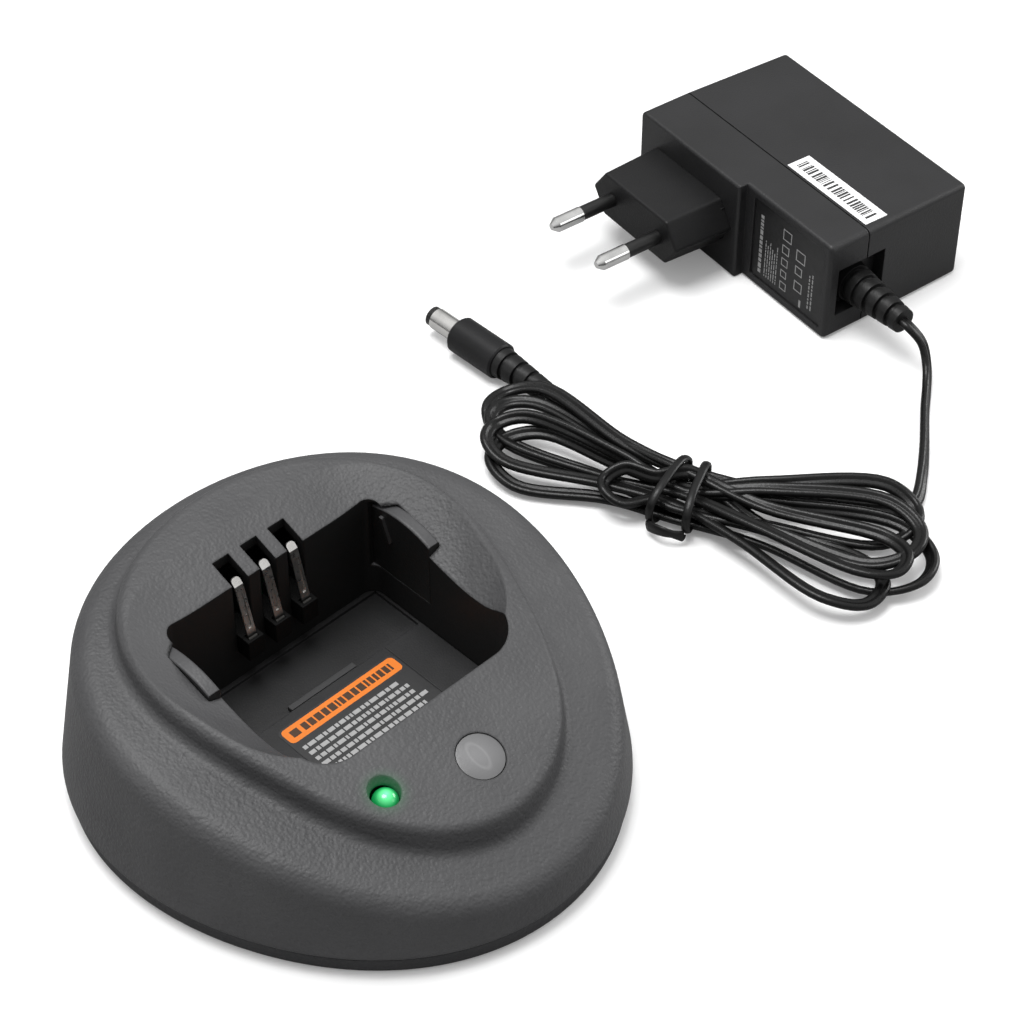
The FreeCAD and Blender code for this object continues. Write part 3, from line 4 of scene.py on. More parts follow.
import bmesh
import bpy
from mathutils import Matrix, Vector


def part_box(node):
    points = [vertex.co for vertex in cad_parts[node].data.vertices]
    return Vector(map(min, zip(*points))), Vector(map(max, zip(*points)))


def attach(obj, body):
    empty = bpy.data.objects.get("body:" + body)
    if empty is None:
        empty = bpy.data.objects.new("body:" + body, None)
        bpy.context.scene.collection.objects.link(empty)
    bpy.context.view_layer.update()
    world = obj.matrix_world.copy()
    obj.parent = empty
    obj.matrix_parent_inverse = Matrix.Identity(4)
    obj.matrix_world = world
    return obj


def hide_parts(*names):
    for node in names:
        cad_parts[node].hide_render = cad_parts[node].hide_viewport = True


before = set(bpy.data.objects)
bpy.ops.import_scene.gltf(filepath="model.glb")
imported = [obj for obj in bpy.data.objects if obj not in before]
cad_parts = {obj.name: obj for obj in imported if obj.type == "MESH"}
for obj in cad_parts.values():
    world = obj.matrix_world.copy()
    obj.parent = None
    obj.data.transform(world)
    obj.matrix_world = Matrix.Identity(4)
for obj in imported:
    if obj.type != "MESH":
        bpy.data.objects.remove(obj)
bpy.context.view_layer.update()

MM = 0.001
housing_low, housing_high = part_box("top_housing")
# The cradle stands on its own middle; every length below is in millimetres from there.
CRADLE_X = (housing_low[0] + housing_high[0]) / 2 / MM
CRADLE_Y = -14.798
ADAPTER_X, ADAPTER_Y, ADAPTER_TURN = 195.3, 89.0, math.radians(-98.5)


def place(x, y, z):
    """Point in the cradle's millimetres, as a vector in the shared frame."""
    return Vector(((x + CRADLE_X) * MM, (y + CRADLE_Y) * MM, z * MM))


def adapter_place(x, y, z):
    """Point in the adapter's own millimetres, as a vector in the shared frame."""
    c, s = math.cos(ADAPTER_TURN), math.sin(ADAPTER_TURN)
    return place(ADAPTER_X + x * c - y * s, ADAPTER_Y + x * s + y * c, z)


# ---------------------------------------------------------------- materials

class Nodes:
    """Short calls for building one material's node tree."""

    def __init__(self, name):
        self.material = bpy.data.materials.new(name)
        self.material.use_nodes = True
        self.tree = self.material.node_tree
        self.shader = self.tree.nodes["Principled BSDF"]
        coordinates = self.tree.nodes.new("ShaderNodeTexCoord")
        self.position = coordinates.outputs["Object"]
        self.facing = coordinates.outputs["Normal"]

    def add(self, kind, **settings):
        node = self.tree.nodes.new(kind)
        for key, value in settings.items():
            if key in node.inputs:
                node.inputs[key].default_value = value
            else:
                setattr(node, key, value)
        return node

    def link(self, source, target):
        self.tree.links.new(source, target)

    def math(self, operation, a, b=0.5, clamp=False):
        node = self.tree.nodes.new("ShaderNodeMath")
        node.operation = operation
        node.use_clamp = clamp
        for slot, value in zip(node.inputs, (a, b)):
            if isinstance(value, (int, float)):
                slot.default_value = value
            else:
                self.link(value, slot)
        return node.outputs[0]

    def noise(self, scale, detail=3.0, roughness=0.5):
        node = self.add("ShaderNodeTexNoise", Scale=scale, Detail=detail, Roughness=roughness)
        self.link(self.position, node.inputs["Vector"])
        return node.outputs["Fac"]

    def cells(self, scale, feature="SMOOTH_F1"):
        node = self.add("ShaderNodeTexVoronoi", feature=feature)
        node.inputs["Scale"].default_value = scale
        self.link(self.position, node.inputs["Vector"])
        return node.outputs["Distance"]

    def span(self, value, low, high, to_low, to_high):
        node = self.add("ShaderNodeMapRange")
        self.link(value, node.inputs["Value"])
        for key, number in (("From Min", low), ("From Max", high), ("To Min", to_low), ("To Max", to_high)):
            if isinstance(number, (int, float)):
                node.inputs[key].default_value = number
            else:
                self.link(number, node.inputs[key])
        return node.outputs["Result"]

    def mix(self, factor, first, second):
        node = self.tree.nodes.new("ShaderNodeMix")
        node.data_type = "RGBA"
        for slot, value in ((node.inputs[0], factor), (node.inputs[6], first), (node.inputs[7], second)):
            if isinstance(value, (int, float)):
                slot.default_value = value
            elif isinstance(value, tuple):
                slot.default_value = value + (1.0,)
            else:
                self.link(value, slot)
        return node.outputs[2]

    def split(self, vector):
        node = self.tree.nodes.new("ShaderNodeSeparateXYZ")
        self.link(vector, node.inputs[0])
        return node.outputs

    def upright(self, steepest=0.35):
        """One on walls that stand nearly upright, nought on everything flatter."""
        lean = self.math("ABSOLUTE", self.split(self.facing)[2])
        return self.span(lean, steepest - 0.06, steepest + 0.06, 1, 0)

    def inside(self, low, high, soft):
        """One within a block of the object, fading to nought over a soft border; None leaves a side open."""
        mask = None
        for value, a, b in zip(self.split(self.position), low, high):
            for edge, sign in ((a, 1), (b, -1)):
                if edge is None:
                    continue
                side = self.span(value, edge - soft, edge + soft, 0 if sign > 0 else 1, 1 if sign > 0 else 0)
                mask = side if mask is None else self.math("MULTIPLY", mask, side)
        return mask

    def bevel(self, radius):
        """Normals rounded over every edge."""
        node = self.add("ShaderNodeBevel", samples=4)
        node.inputs["Radius"].default_value = radius
        return node.outputs["Normal"]

    def bump(self, height, depth, strength=1.0, normal=None):
        node = self.tree.nodes.new("ShaderNodeBump")
        node.inputs["Distance"].default_value = depth
        if isinstance(strength, (int, float)):
            node.inputs["Strength"].default_value = strength
        else:
            self.link(strength, node.inputs["Strength"])
        self.link(height, node.inputs["Height"])
        if normal is not None:
            self.link(normal, node.inputs["Normal"])
        return node.outputs["Normal"]

    def set(self, **inputs):
        for key, value in inputs.items():
            slot = self.shader.inputs[key.replace("_", " ")]
            if isinstance(value, (int, float)):
                slot.default_value = value
            elif isinstance(value, tuple):
                slot.default_value = value + (1.0,)
            else:
                self.link(value, slot)
        return self


def moulded_plastic(name, dark, light, roughness, grain, depth, gloss=0.5, painted_wall_shade=None):
    """Injection-moulded plastic with a fine etched grain and faint mottling; an optional colour for upright
    faces paints shade on them.
    """
    n = Nodes(name)
    mottle = n.noise(60, 4)
    fine = n.noise(grain * 1.6, 2)
    pebbles = n.cells(grain)
    colour = n.mix(n.span(mottle, 0.3, 0.7, 0, 1), dark, light)
    # painted shade: upright faces are darkened
    if painted_wall_shade is not None:
        colour = n.mix(n.upright(), colour, painted_wall_shade)
    n.set(Base_Color=colour)
    n.set(Roughness=n.span(fine, 0.25, 0.75, roughness - 0.06, roughness + 0.08))
    n.set(Specular_IOR_Level=gloss)
    height = n.math("ADD", pebbles, n.math("MULTIPLY", fine, 0.6))
    n.set(Normal=n.bump(height, depth, 1.0, n.bevel(0.35 * MM)))
    return n.material


def housing_plastic():
    """Charcoal plastic with leather grain outside, and smooth walls inside the well painted near-black as
    shade, with a painted green glow of the lamp on the housing round it.
    """
    n = Nodes("housing_grained_plastic")
    low, high = place(-29.5, -23, 5), place(29.5, 32.5, 42)
    # the well's upright walls: their smooth finish is real, their near-black colour is painted shade
    well = n.math("MULTIPLY", n.inside(low, high, 0.3 * MM), n.upright())
    mottle = n.noise(45, 5)
    outside = n.mix(n.span(mottle, 0.35, 0.65, 0, 1), (0.052, 0.052, 0.054), (0.066, 0.066, 0.068))
    n.set(Base_Color=n.mix(well, outside, (0.012, 0.012, 0.012)))
    fine = n.noise(2600, 2)
    rough_outside = n.span(fine, 0.25, 0.75, 0.46, 0.60)
    n.set(Roughness=n.math("MULTIPLY", rough_outside, n.span(well, 0, 1, 1.0, 0.85)))
    n.set(Specular_IOR_Level=n.span(well, 0, 1, 0.42, 0.15))
    pebbles = n.cells(1500)
    creases = n.cells(760)
    small = n.math("ADD", n.math("MULTIPLY", creases, 0.7), n.math("MULTIPLY", fine, 0.35))
    height = n.math("ADD", pebbles, small)
    grain = n.span(well, 0, 1, 1.0, 0.06)
    n.set(Normal=n.bump(height, 0.00013, grain, n.bevel(0.8 * MM)))
    low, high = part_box("light_pipe")
    lamp = Vector(((low[0] + high[0]) / 2, (low[1] + high[1]) / 2, high[2]))
    away = n.tree.nodes.new("ShaderNodeVectorMath")
    away.operation = "DISTANCE"
    n.link(n.position, away.inputs[0])
    away.inputs[1].default_value = lamp
    # painted light: green glow of the lamp falling on the housing round it, fading with distance
    painted_lamp_glow = n.math("POWER", n.span(away.outputs["Value"], 2.4 * MM, 7.0 * MM, 1, 0), 3.0)
    n.set(Emission_Color=(0.01, 0.60, 0.16), Emission_Strength=n.math("MULTIPLY", painted_lamp_glow, 0.22))
    return n.material


def metal(name, colour, roughness, brush=0.0):
    """Plated metal with a fine drawn surface and slight tarnish."""
    n = Nodes(name)
    drawn = n.noise(1400, 2)
    tarnish = n.noise(240, 4)
    dull = tuple(c * 0.82 for c in colour)
    n.set(Metallic=1.0, Base_Color=n.mix(n.span(tarnish, 0.4, 0.75, 0, 1), colour, dull))
    n.set(Roughness=n.span(drawn, 0.3, 0.7, roughness, roughness + 0.10))
    n.set(Normal=n.bump(drawn, 0.00002, brush))
    return n.material


def contact_plating():
    """Nickel plating, rougher low down where each contact rolls over its pivot, and painted dark there as
    shade.
    """
    n = Nodes("contact_nickel")
    drawn = n.noise(1400, 2)
    tarnish = n.noise(240, 4)
    high = n.split(n.position)[2]
    # painted shade low down, where the contacts go into the wall; also rougher there
    shaded_root = n.span(high, 25.0 * MM, 26.5 * MM, 1, 0)
    bright = n.mix(n.span(tarnish, 0.4, 0.75, 0, 1), (0.66, 0.65, 0.63), (0.54, 0.53, 0.51))
    n.set(Metallic=1.0, Base_Color=n.mix(shaded_root, bright, (0.045, 0.044, 0.042)))
    n.set(Roughness=n.math("ADD", n.span(drawn, 0.3, 0.7, 0.26, 0.36), n.math("MULTIPLY", shaded_root, 0.25)))
    n.set(Normal=n.bump(drawn, 0.00002, 0.6))
    return n.material


def sheet(name, colour, spread, roughness):
    """Printed film or paper with faint mottling and fibre."""
    n = Nodes(name)
    fibre = n.noise(900, 4)
    lighter = tuple(min(c * (1 + spread), 1.0) for c in colour)
    n.set(Base_Color=n.mix(n.span(fibre, 0.3, 0.7, 0, 1), colour, lighter))
    n.set(Roughness=n.span(n.noise(300, 2), 0.3, 0.7, roughness - 0.04, roughness + 0.06))
    n.set(Normal=n.bump(fibre, 0.00001))
    return n.material


def badge_material():
    """Smoky moulded plastic with a paler middle, which is a painted highlight, under a clear glossy skin."""
    n = Nodes("badge_smoky_plastic")
    low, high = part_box("round_badge")
    x, y, _ = n.split(n.position)
    dx = n.math("SUBTRACT", x, (low[0] + high[0]) / 2)
    dy = n.math("SUBTRACT", y, (low[1] + high[1]) / 2)
    radius = n.math("SQRT", n.math("ADD", n.math("MULTIPLY", dx, dx), n.math("MULTIPLY", dy, dy)))
    cloud = n.noise(230, 3)
    swirl_x = n.math("MULTIPLY", n.math("ADD", dx, 0.0004), 1.9)
    swirl = n.math("SQRT", n.math("ADD", n.math("MULTIPLY", swirl_x, swirl_x), n.math("MULTIPLY", dy, dy)))
    crescent = n.span(n.math("ABSOLUTE", n.math("SUBTRACT", swirl, 0.0030)), 0.0, 0.0007, 1, 0)
    # painted highlight: paler towards the middle, with random cloud
    middle_highlight_and_cloud = n.math("ADD", n.span(radius, 0.0010, 0.0051, 0.1, 0.9), n.math("MULTIPLY", cloud, 0.5))
    body = n.mix(n.span(middle_highlight_and_cloud, 0.2, 1.3, 0, 1), (0.185, 0.185, 0.188), (0.110, 0.110, 0.112))
    n.set(Base_Color=n.mix(n.math("MULTIPLY", crescent, 0.16), body, (0.40, 0.40, 0.40)))
    n.set(Roughness=n.span(cloud, 0.3, 0.7, 0.28, 0.40), Coat_Weight=0.25, Coat_Roughness=0.15)
    n.set(Normal=n.bump(cloud, 0.00015, 0.7))
    return n.material


def lamp_material():
    """Lit green lens: brightest where it faces the viewer, deeper green at the rim."""
    n = Nodes("lamp_green_lens")
    facing = n.tree.nodes.new("ShaderNodeLayerWeight")
    facing.inputs["Blend"].default_value = 0.35
    ripple = n.noise(700, 2)
    low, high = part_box("light_pipe")
    x, y, _ = n.split(n.position)
    dx = n.math("SUBTRACT", x, (low[0] + high[0]) / 2)
    dy = n.math("SUBTRACT", y, (low[1] + high[1]) / 2 - 0.0004)
    off = n.math("SQRT", n.math("ADD", n.math("MULTIPLY", dx, dx), n.math("MULTIPLY", dy, dy)))
    rim = n.math("ADD", n.span(off, 0.0, 0.0026, 0, 1), n.math("MULTIPLY", facing.outputs["Facing"], 0.4))
    glow = n.mix(n.span(rim, 0.1, 1.0, 0, 1), (0.16, 1.0, 0.38), (0.0, 0.22, 0.05))
    n.set(Base_Color=(0.01, 0.22, 0.06), Emission_Color=glow)
    n.set(Emission_Strength=n.span(rim, 0.1, 1.0, 1.5, 0.45))
    n.set(Roughness=n.span(ripple, 0.3, 0.7, 0.16, 0.26), Coat_Weight=0.5)
    n.set(Normal=n.bump(ripple, 0.00003))
    return n.material


def rubber(name, colour, roughness, grain=1500):
    """Soft vinyl with a dull bloom and a very fine surface."""
    n = Nodes(name)
    bloom = n.noise(120, 4)
    fine = n.noise(grain, 2)
    pale = tuple(c * 1.4 for c in colour)
    n.set(Base_Color=n.mix(n.span(bloom, 0.35, 0.75, 0, 1), colour, pale))
    n.set(Roughness=n.span(fine, 0.3, 0.7, roughness - 0.05, roughness + 0.08), Specular_IOR_Level=0.30)
    n.set(Normal=n.bump(fine, 0.00003, 1.0, n.bevel(0.2 * MM)))
    return n.material


def circuit_board():
    """Green solder mask with a copper-coloured pattern under it."""
    n = Nodes("board_solder_mask")
    tracks = n.cells(420, "F1")
    n.set(Base_Color=n.mix(n.span(tracks, 0.30, 0.36, 0, 1), (0.012, 0.10, 0.045), (0.03, 0.17, 0.08)))
    n.set(Roughness=0.35)
    n.set(Normal=n.bump(tracks, 0.00003))
    return n.material


def floor_plastic():
    """Near-black floor of the well with a paler rib painted as a highlight, painted shade over its rear part,
    and a fine mould line beside the label.
    """
    n = Nodes("floor_plastic")
    mottle = n.noise(90, 4)
    fine = n.noise(2400, 2)
    colour = n.mix(n.span(mottle, 0.3, 0.7, 0, 1), (0.015, 0.015, 0.0155), (0.021, 0.021, 0.022))
    # painted highlight: the raised rib is painted paler, as the light it catches
    rib = n.inside(place(-8.5, 10.3, 11.0), place(9.7, 11.9, 13.0), 0.08 * MM)
    # painted shade over the rear part of the floor, behind the rib towards the rear wall
    rear = n.inside(place(-40, 11.9, 5), place(40, 40, 20), 0.5 * MM)
    colour = n.mix(n.math("MULTIPLY", rear, 0.35), colour, (0.008, 0.008, 0.008))
    colour = n.mix(rib, colour, (0.040, 0.040, 0.041))
    line = n.inside(place(17.75, -25, 11.0), place(17.95, 10.2, 13.0), 0.05 * MM)
    n.set(Base_Color=n.mix(line, colour, (0.002, 0.002, 0.002)))
    n.set(Roughness=n.span(fine, 0.3, 0.7, 0.40, 0.52), Specular_IOR_Level=0.35)
    n.set(Normal=n.bump(n.math("SUBTRACT", fine, line), 0.00004, 1.0, n.bevel(0.25 * MM)))
    return n.material


DARK, GREY = (0.011, 0.011, 0.0115), (0.016, 0.016, 0.017)
BLACK = (0.006, 0.006, 0.006)
SOOT, SLATE = (0.010, 0.010, 0.011), (0.015, 0.015, 0.016)
COVER_DARK, COVER_LIGHT = (0.022, 0.022, 0.024), (0.03, 0.03, 0.032)
BLOCK_DARK, BLOCK_LIGHT = (0.003, 0.003, 0.003), (0.005, 0.005, 0.005)
SLEEVE_DARK, SLEEVE_LIGHT = (0.005, 0.005, 0.005), (0.008, 0.008, 0.008)
PLUG_DARK, PLUG_LIGHT = (0.006, 0.006, 0.0063), (0.010, 0.010, 0.0105)
CHIP_DARK, CHIP_LIGHT = (0.012, 0.012, 0.012), (0.02, 0.02, 0.02)
FERRITE_DARK, FERRITE_LIGHT = (0.03, 0.028, 0.026), (0.05, 0.047, 0.044)
TAPE_DARK, TAPE_LIGHT = (0.35, 0.27, 0.05), (0.45, 0.36, 0.08)
TIP_DARK, TIP_LIGHT = (0.010, 0.010, 0.010), (0.015, 0.015, 0.015)
FINISHES = {
    "top_housing": housing_plastic(),
    "bottom_cover": moulded_plastic("cover_plastic", COVER_DARK, COVER_LIGHT, 0.55, 1100, 0.0001),
    "rubber_feet": rubber("foot_rubber", (0.02, 0.02, 0.02), 0.7),
    "housing_screws": metal("screw_zinc", (0.60, 0.60, 0.62), 0.32),
    "board_screws": metal("small_screw_zinc", (0.62, 0.60, 0.55), 0.32),
    "pocket_floor": floor_plastic(),
    "contact_block": moulded_plastic("block_plastic", BLOCK_DARK, BLOCK_LIGHT, 0.6, 1500, 0.00003, 0.1),
    "dc_jack": moulded_plastic("socket_plastic", SOOT, SLATE, 0.40, 1500, 0.00003),
    "dc_jack_pin": metal("socket_pin", (0.75, 0.72, 0.62), 0.25),
    "contact_terminals": metal("terminal_tin", (0.72, 0.66, 0.50), 0.30),
    "light_pipe": lamp_material(),
    "indicator_board": circuit_board(),
    "status_led": lamp_material(),
    "round_badge": badge_material(),
    "pocket_label": sheet("pocket_label_film", (0.016, 0.016, 0.0165), 0.3, 0.46),
    "main_board": circuit_board(),
    "adapter_board": circuit_board(),
    "charge_controller": moulded_plastic("chip_epoxy", CHIP_DARK, CHIP_LIGHT, 0.5, 2000, 0.00002),
    "power_inductor": moulded_plastic("inductor_ferrite", FERRITE_DARK, FERRITE_LIGHT, 0.6, 1500, 0.00004),
    "filter_capacitors": metal("can_aluminium", (0.62, 0.62, 0.64), 0.35),
    "adapter_capacitors": metal("supply_can_aluminium", (0.55, 0.56, 0.62), 0.38),
    "heat_sink": metal("sink_aluminium", (0.55, 0.55, 0.56), 0.40),
    "adapter_heat_sink": metal("supply_sink_aluminium", (0.55, 0.55, 0.56), 0.40),
    "transformer": moulded_plastic("transformer_tape", TAPE_DARK, TAPE_LIGHT, 0.45, 900, 0.00005),
    "pin_contact_springs": metal("spring_brass", (0.75, 0.62, 0.32), 0.28),
    "adapter_rear_shell": moulded_plastic("adapter_plastic", DARK, GREY, 0.46, 2400, 0.00003),
    "adapter_front_cover": moulded_plastic("adapter_cover_plastic", DARK, GREY, 0.46, 2400, 0.00003),
    "plug_block": moulded_plastic("plug_plastic", PLUG_DARK, PLUG_LIGHT, 0.46, 2200, 0.00003, 0.3),
    "plug_pins": metal("pin_nickel", (0.86, 0.86, 0.85), 0.09, 0.1),
    "pin_sleeves": moulded_plastic("sleeve_plastic", SLEEVE_DARK, SLEEVE_LIGHT, 0.40, 1500, 0.00002),
    "rating_label": sheet("rating_film", (0.009, 0.009, 0.0095), 0.3, 0.36),
    "barcode_sticker": sheet("barcode_paper", (0.86, 0.86, 0.86), 0.05, 0.5),
    "adapter_strain_relief": rubber("relief_vinyl", BLACK, 0.42),
    "dc_plug_body": rubber("plug_grip_vinyl", (0.007, 0.007, 0.0075), 0.42),
    "dc_plug_strain_relief": rubber("plug_relief_vinyl", BLACK, 0.42),
    "dc_plug_barrel": metal("barrel_nickel", (0.86, 0.85, 0.83), 0.10, 0.1),
    "dc_plug_insulator": moulded_plastic("tip_plastic", TIP_DARK, TIP_LIGHT, 0.25, 1500, 0.00001),
}
# the rails' upright faces are painted near-black as shade
rail_plastic = moulded_plastic("rail_plastic", (0.040, 0.040, 0.042), (0.052, 0.052, 0.054), 0.44,
                               1500, 0.00004, painted_wall_shade=(0.007, 0.007, 0.007))
contact_metal = contact_plating()
for side in ("left", "right"):
    FINISHES["guide_rail_" + side] = rail_plastic
for word in ("left", "centre", "right"):
    FINISHES["contact_" + word] = contact_metal

for node, finish in FINISHES.items():
    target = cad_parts[node]
    if not target.material_slots:
        target.data.materials.append(finish)
    for slot in target.material_slots:
        slot.material = finish


# ---------------------------------------------------------------- printed marks, all blank

def mesh_object(name, bm, material, body):
    """Object made from bm, which rides on one body."""
    data = bpy.data.meshes.new(name)
    bm.to_mesh(data)
    bm.free()
    obj = bpy.data.objects.new(name, data)
    bpy.context.scene.collection.objects.link(obj)
    data.materials.append(material)
    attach(obj, body)
    return obj


SHORTEST_BAR = 0.6


def add_slab(bm, spot, x0, x1, y0, y1, z0, z1):
    """One thin block; spot turns its own millimetres into the shared frame."""
    corners = [bm.verts.new(spot(x, y, z)) for z in (z0, z1) for y in (y0, y1) for x in (x0, x1)]
    for ring in ((0, 1, 3, 2), (4, 6, 7, 5), (0, 4, 5, 1), (2, 3, 7, 6), (0, 2, 6, 4), (1, 5, 7, 3)):
        bm.faces.new([corners[k] for k in ring])


def add_plate(bm, spot, left, right, low, high, radius, z0, z1):
    """Thin plate with rounded corners."""
    outline = []
    for x, y, start in ((right, high, 0), (left, high, 90), (left, low, 180), (right, low, 270)):
        cx = x - radius if x == right else x + radius
        cy = y - radius if y == high else y + radius
        for k in range(5):
            a = math.radians(start + 22.5 * k)
            outline.append((cx + radius * math.cos(a), cy + radius * math.sin(a)))
    rings = [[bm.verts.new(spot(x, y, z)) for x, y in outline] for z in (z0, z1)]
    bm.faces.new(list(reversed(rings[0])))
    bm.faces.new(rings[1])
    for k in range(len(outline)):
        following = (k + 1) % len(outline)
        bm.faces.new((rings[0][k], rings[0][following], rings[1][following], rings[1][k]))


def add_frame(bm, spot, left, right, low, high, width, z0, z1):
    """Thin square frame."""
    add_slab(bm, spot, left, right, low, low + width, z0, z1)
    add_slab(bm, spot, left, right, high - width, high, z0, z1)
    add_slab(bm, spot, left, left + width, low + width, high - width, z0, z1)
    add_slab(bm, spot, right - width, right, low + width, high - width, z0, z1)


def text_bars(bm, spot, box, rows, fill, rng, z0, z1, tall, widest, gap):
    """Rows of blank bars of uneven length, as lines of words look from afar."""
    left, right, low, high = box
    pitch = (high - low) / rows
    for row in range(rows):
        y = high - pitch * (row + 0.5)
        x = left
        end = left + (right - left) * rng.uniform(fill, 1.0)
        while x < end - SHORTEST_BAR:
            width = min(rng.uniform(0.3 * widest, widest), end - x)
            add_slab(bm, spot, x, x + width, y - pitch * tall / 2, y + pitch * tall / 2, z0, z1)
            x += width + gap


def label_print():
    """Orange strip with dark bars, and rows of pale bars under it, on the label in the well."""
    rng = random.Random(5)
    low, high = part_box("pocket_label")
    film = high[2] / MM + 0.005
    ink_top = film + 0.025
    left = low[0] / MM - CRADLE_X + 0.6
    right = high[0] / MM - CRADLE_X - 0.6
    strip = bmesh.new()
    add_plate(strip, place, left, right, 3.1, 7.5, 1.1, film, ink_top)
    orange = sheet("orange_ink", (0.78, 0.195, 0.010), 0.06, 0.55)
    mesh_object("label_orange_strip", strip, orange, "cradle")
    dark = bmesh.new()
    words = (left + 4.6, right - 1.4, 4.25, 6.35)
    text_bars(dark, place, words, 1, 0.98, rng, ink_top, ink_top + 0.02, 1.0, 1.7, 0.4)
    add_slab(dark, place, left + 1.5, left + 3.6, 4.3, 6.3, ink_top, ink_top + 0.02)
    dark_ink = sheet("dark_ink", (0.05, 0.02, 0.004), 0.1, 0.5)
    mesh_object("label_dark_bars", dark, dark_ink, "cradle")
    pale = bmesh.new()
    words = (left + 0.9, right - 0.9, -14.2, 1.8)
    text_bars(pale, place, words, 8, 0.86, rng, film, ink_top, 0.52, 2.0, 0.35)
    pale_ink = sheet("pale_ink", (0.36, 0.36, 0.36), 0.1, 0.5)
    mesh_object("label_pale_bars", pale, pale_ink, "cradle")


def rating_print():
    """Blank bars and plain frames on the adapter's rating label."""
    rng = random.Random(11)
    origin = adapter_place(0, 0, 0)
    forward = adapter_place(0, -1, 0) - origin
    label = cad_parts["rating_label"].data.vertices
    front = max((v.co - origin).dot(forward) for v in label) / MM / MM

    def spot(along, row, z):
        """Rows run up the label; a lower row stands further from the plug."""
        return adapter_place(-row, -front - z, along)

    z0, z1 = 0.004, 0.02
    ink = bmesh.new()
    text_bars(ink, spot, (4.4, 22.5, -46.1, -44.9), 1, 0.98, rng, z0, z1, 0.9, 1.6, 0.4)
    text_bars(ink, spot, (4.4, 17.0, -52.2, -47.0), 6, 0.75, rng, z0, z1, 0.34, 1.6, 0.3)
    for along, size in ((4.6, 2.4), (8.4, 2.2), (12.0, 2.4), (15.8, 2.6), (20.0, 3.2)):
        add_frame(ink, spot, along, along + size, -53.4 - size, -53.4, 0.26, z0, z1)
    for along, size in ((7.6, 3.0), (12.6, 2.6), (16.8, 3.4)):
        add_frame(ink, spot, along, along + size, -58.6 - size, -58.6, 0.30, z0, z1)
    add_slab(ink, spot, 3.4, 5.6, -61.6, -60.9, z0, z1)
    text_bars(ink, spot, (5.0, 21.0, -65.8, -63.6), 2, 0.6, rng, z0, z1, 0.36, 1.4, 0.4)
    pale_ink = sheet("rating_ink", (0.34, 0.34, 0.34), 0.1, 0.4)
    mesh_object("rating_bars", ink, pale_ink, "power_supply")


def barcode_print():
    """Stripes of uneven width that carry no code, on the sticker over the adapter's seam."""
    rng = random.Random(3)
    tilt = math.atan2(0.8, 32.5)
    start_y = 0.75
    start_z = 28.62

    def spot(x, y, z):
        """Point on the tilted sticker, z above its face."""
        return adapter_place(x, start_y + y * math.cos(tilt) + z * math.sin(tilt),
                             start_z - y * math.sin(tilt) + z * math.cos(tilt))

    bars = bmesh.new()
    x = 41.0
    while x < 67.0:
        width = rng.choice((0.22, 0.3, 0.5, 0.7))
        add_slab(bars, spot, x, x + width, 1.6, 5.1, 0.12, 0.16)
        x += width + rng.choice((0.22, 0.3, 0.45, 0.8))
    dark_ink = sheet("barcode_ink", (0.03, 0.03, 0.03), 0.1, 0.5)
    mesh_object("barcode_bars", bars, dark_ink, "power_supply")


label_print()
rating_print()
barcode_print()


# ---------------------------------------------------------------- cord, bundle and tie

def smooth_path(points, per_span=9):
    """Centripetal spline through the points, as evenly flowing samples."""
    pts = [Vector(p) for p in points]
    pts = [pts[0] * 2 - pts[1]] + pts + [pts[-1] * 2 - pts[-2]]
    out = []
    for k in range(1, len(pts) - 2):
        p0, p1, p2, p3 = pts[k - 1:k + 3]
        t0 = 0.0
        t1 = t0 + max((p1 - p0).length, 1e-6) ** 0.5
        t2 = t1 + max((p2 - p1).length, 1e-6) ** 0.5
        t3 = t2 + max((p3 - p2).length, 1e-6) ** 0.5
        for j in range(per_span):
            t = t1 + (t2 - t1) * j / per_span
            a1 = p0 * ((t1 - t) / (t1 - t0)) + p1 * ((t - t0) / (t1 - t0))
            a2 = p1 * ((t2 - t) / (t2 - t1)) + p2 * ((t - t1) / (t2 - t1))
            a3 = p2 * ((t3 - t) / (t3 - t2)) + p3 * ((t - t2) / (t3 - t2))
            b1 = a1 * ((t2 - t) / (t2 - t0)) + a2 * ((t - t0) / (t2 - t0))
            b2 = a2 * ((t3 - t) / (t3 - t1)) + a3 * ((t - t1) / (t3 - t1))
            out.append(b1 * ((t2 - t) / (t2 - t1)) + b2 * ((t - t1) / (t2 - t1)))
    out.append(pts[-2].copy())
    return out


def sweep(bm, path, section, twist=lambda travelled: 0.0, up=Vector((0, 0, 1))):
    """Closed section carried along the path, turned by twist(length so far)."""
    rings = []
    side = None
    travelled = 0.0
    for k, p in enumerate(path):
        ahead = (path[min(k + 1, len(path) - 1)] - path[max(k - 1, 0)]).normalized()
        if side is None:
            side = ahead.cross(up).normalized()
        side = (side - ahead * side.dot(ahead)).normalized()
        top = side.cross(ahead)
        if k:
            travelled += (p - path[k - 1]).length
        c, s = math.cos(twist(travelled)), math.sin(twist(travelled))
        ring = []
        for u, v in section:
            a, b = u * c - v * s, u * s + v * c
            ring.append(bm.verts.new(p + side * a + top * b))
        rings.append(ring)
    count = len(section)
    for first, second in zip(rings, rings[1:]):
        for k in range(count):
            bm.faces.new((first[k], first[(k + 1) % count], second[(k + 1) % count], second[k]))
    bm.faces.new(list(reversed(rings[0])))
    bm.faces.new(rings[-1])
    for face in bm.faces:
        face.smooth = True


def two_core_section(radius, spacing, steps=9):
    """Outline of two round cores joined by a narrow web, in metres."""
    points = []
    for sign in (1, -1):
        for k in range(steps):
            a = -math.radians(140) + math.radians(280) * k / (steps - 1)
            points.append((sign * (spacing / 2 + radius * math.cos(a)), sign * radius * math.sin(a)))
    return [(x * MM, y * MM) for x, y in points]


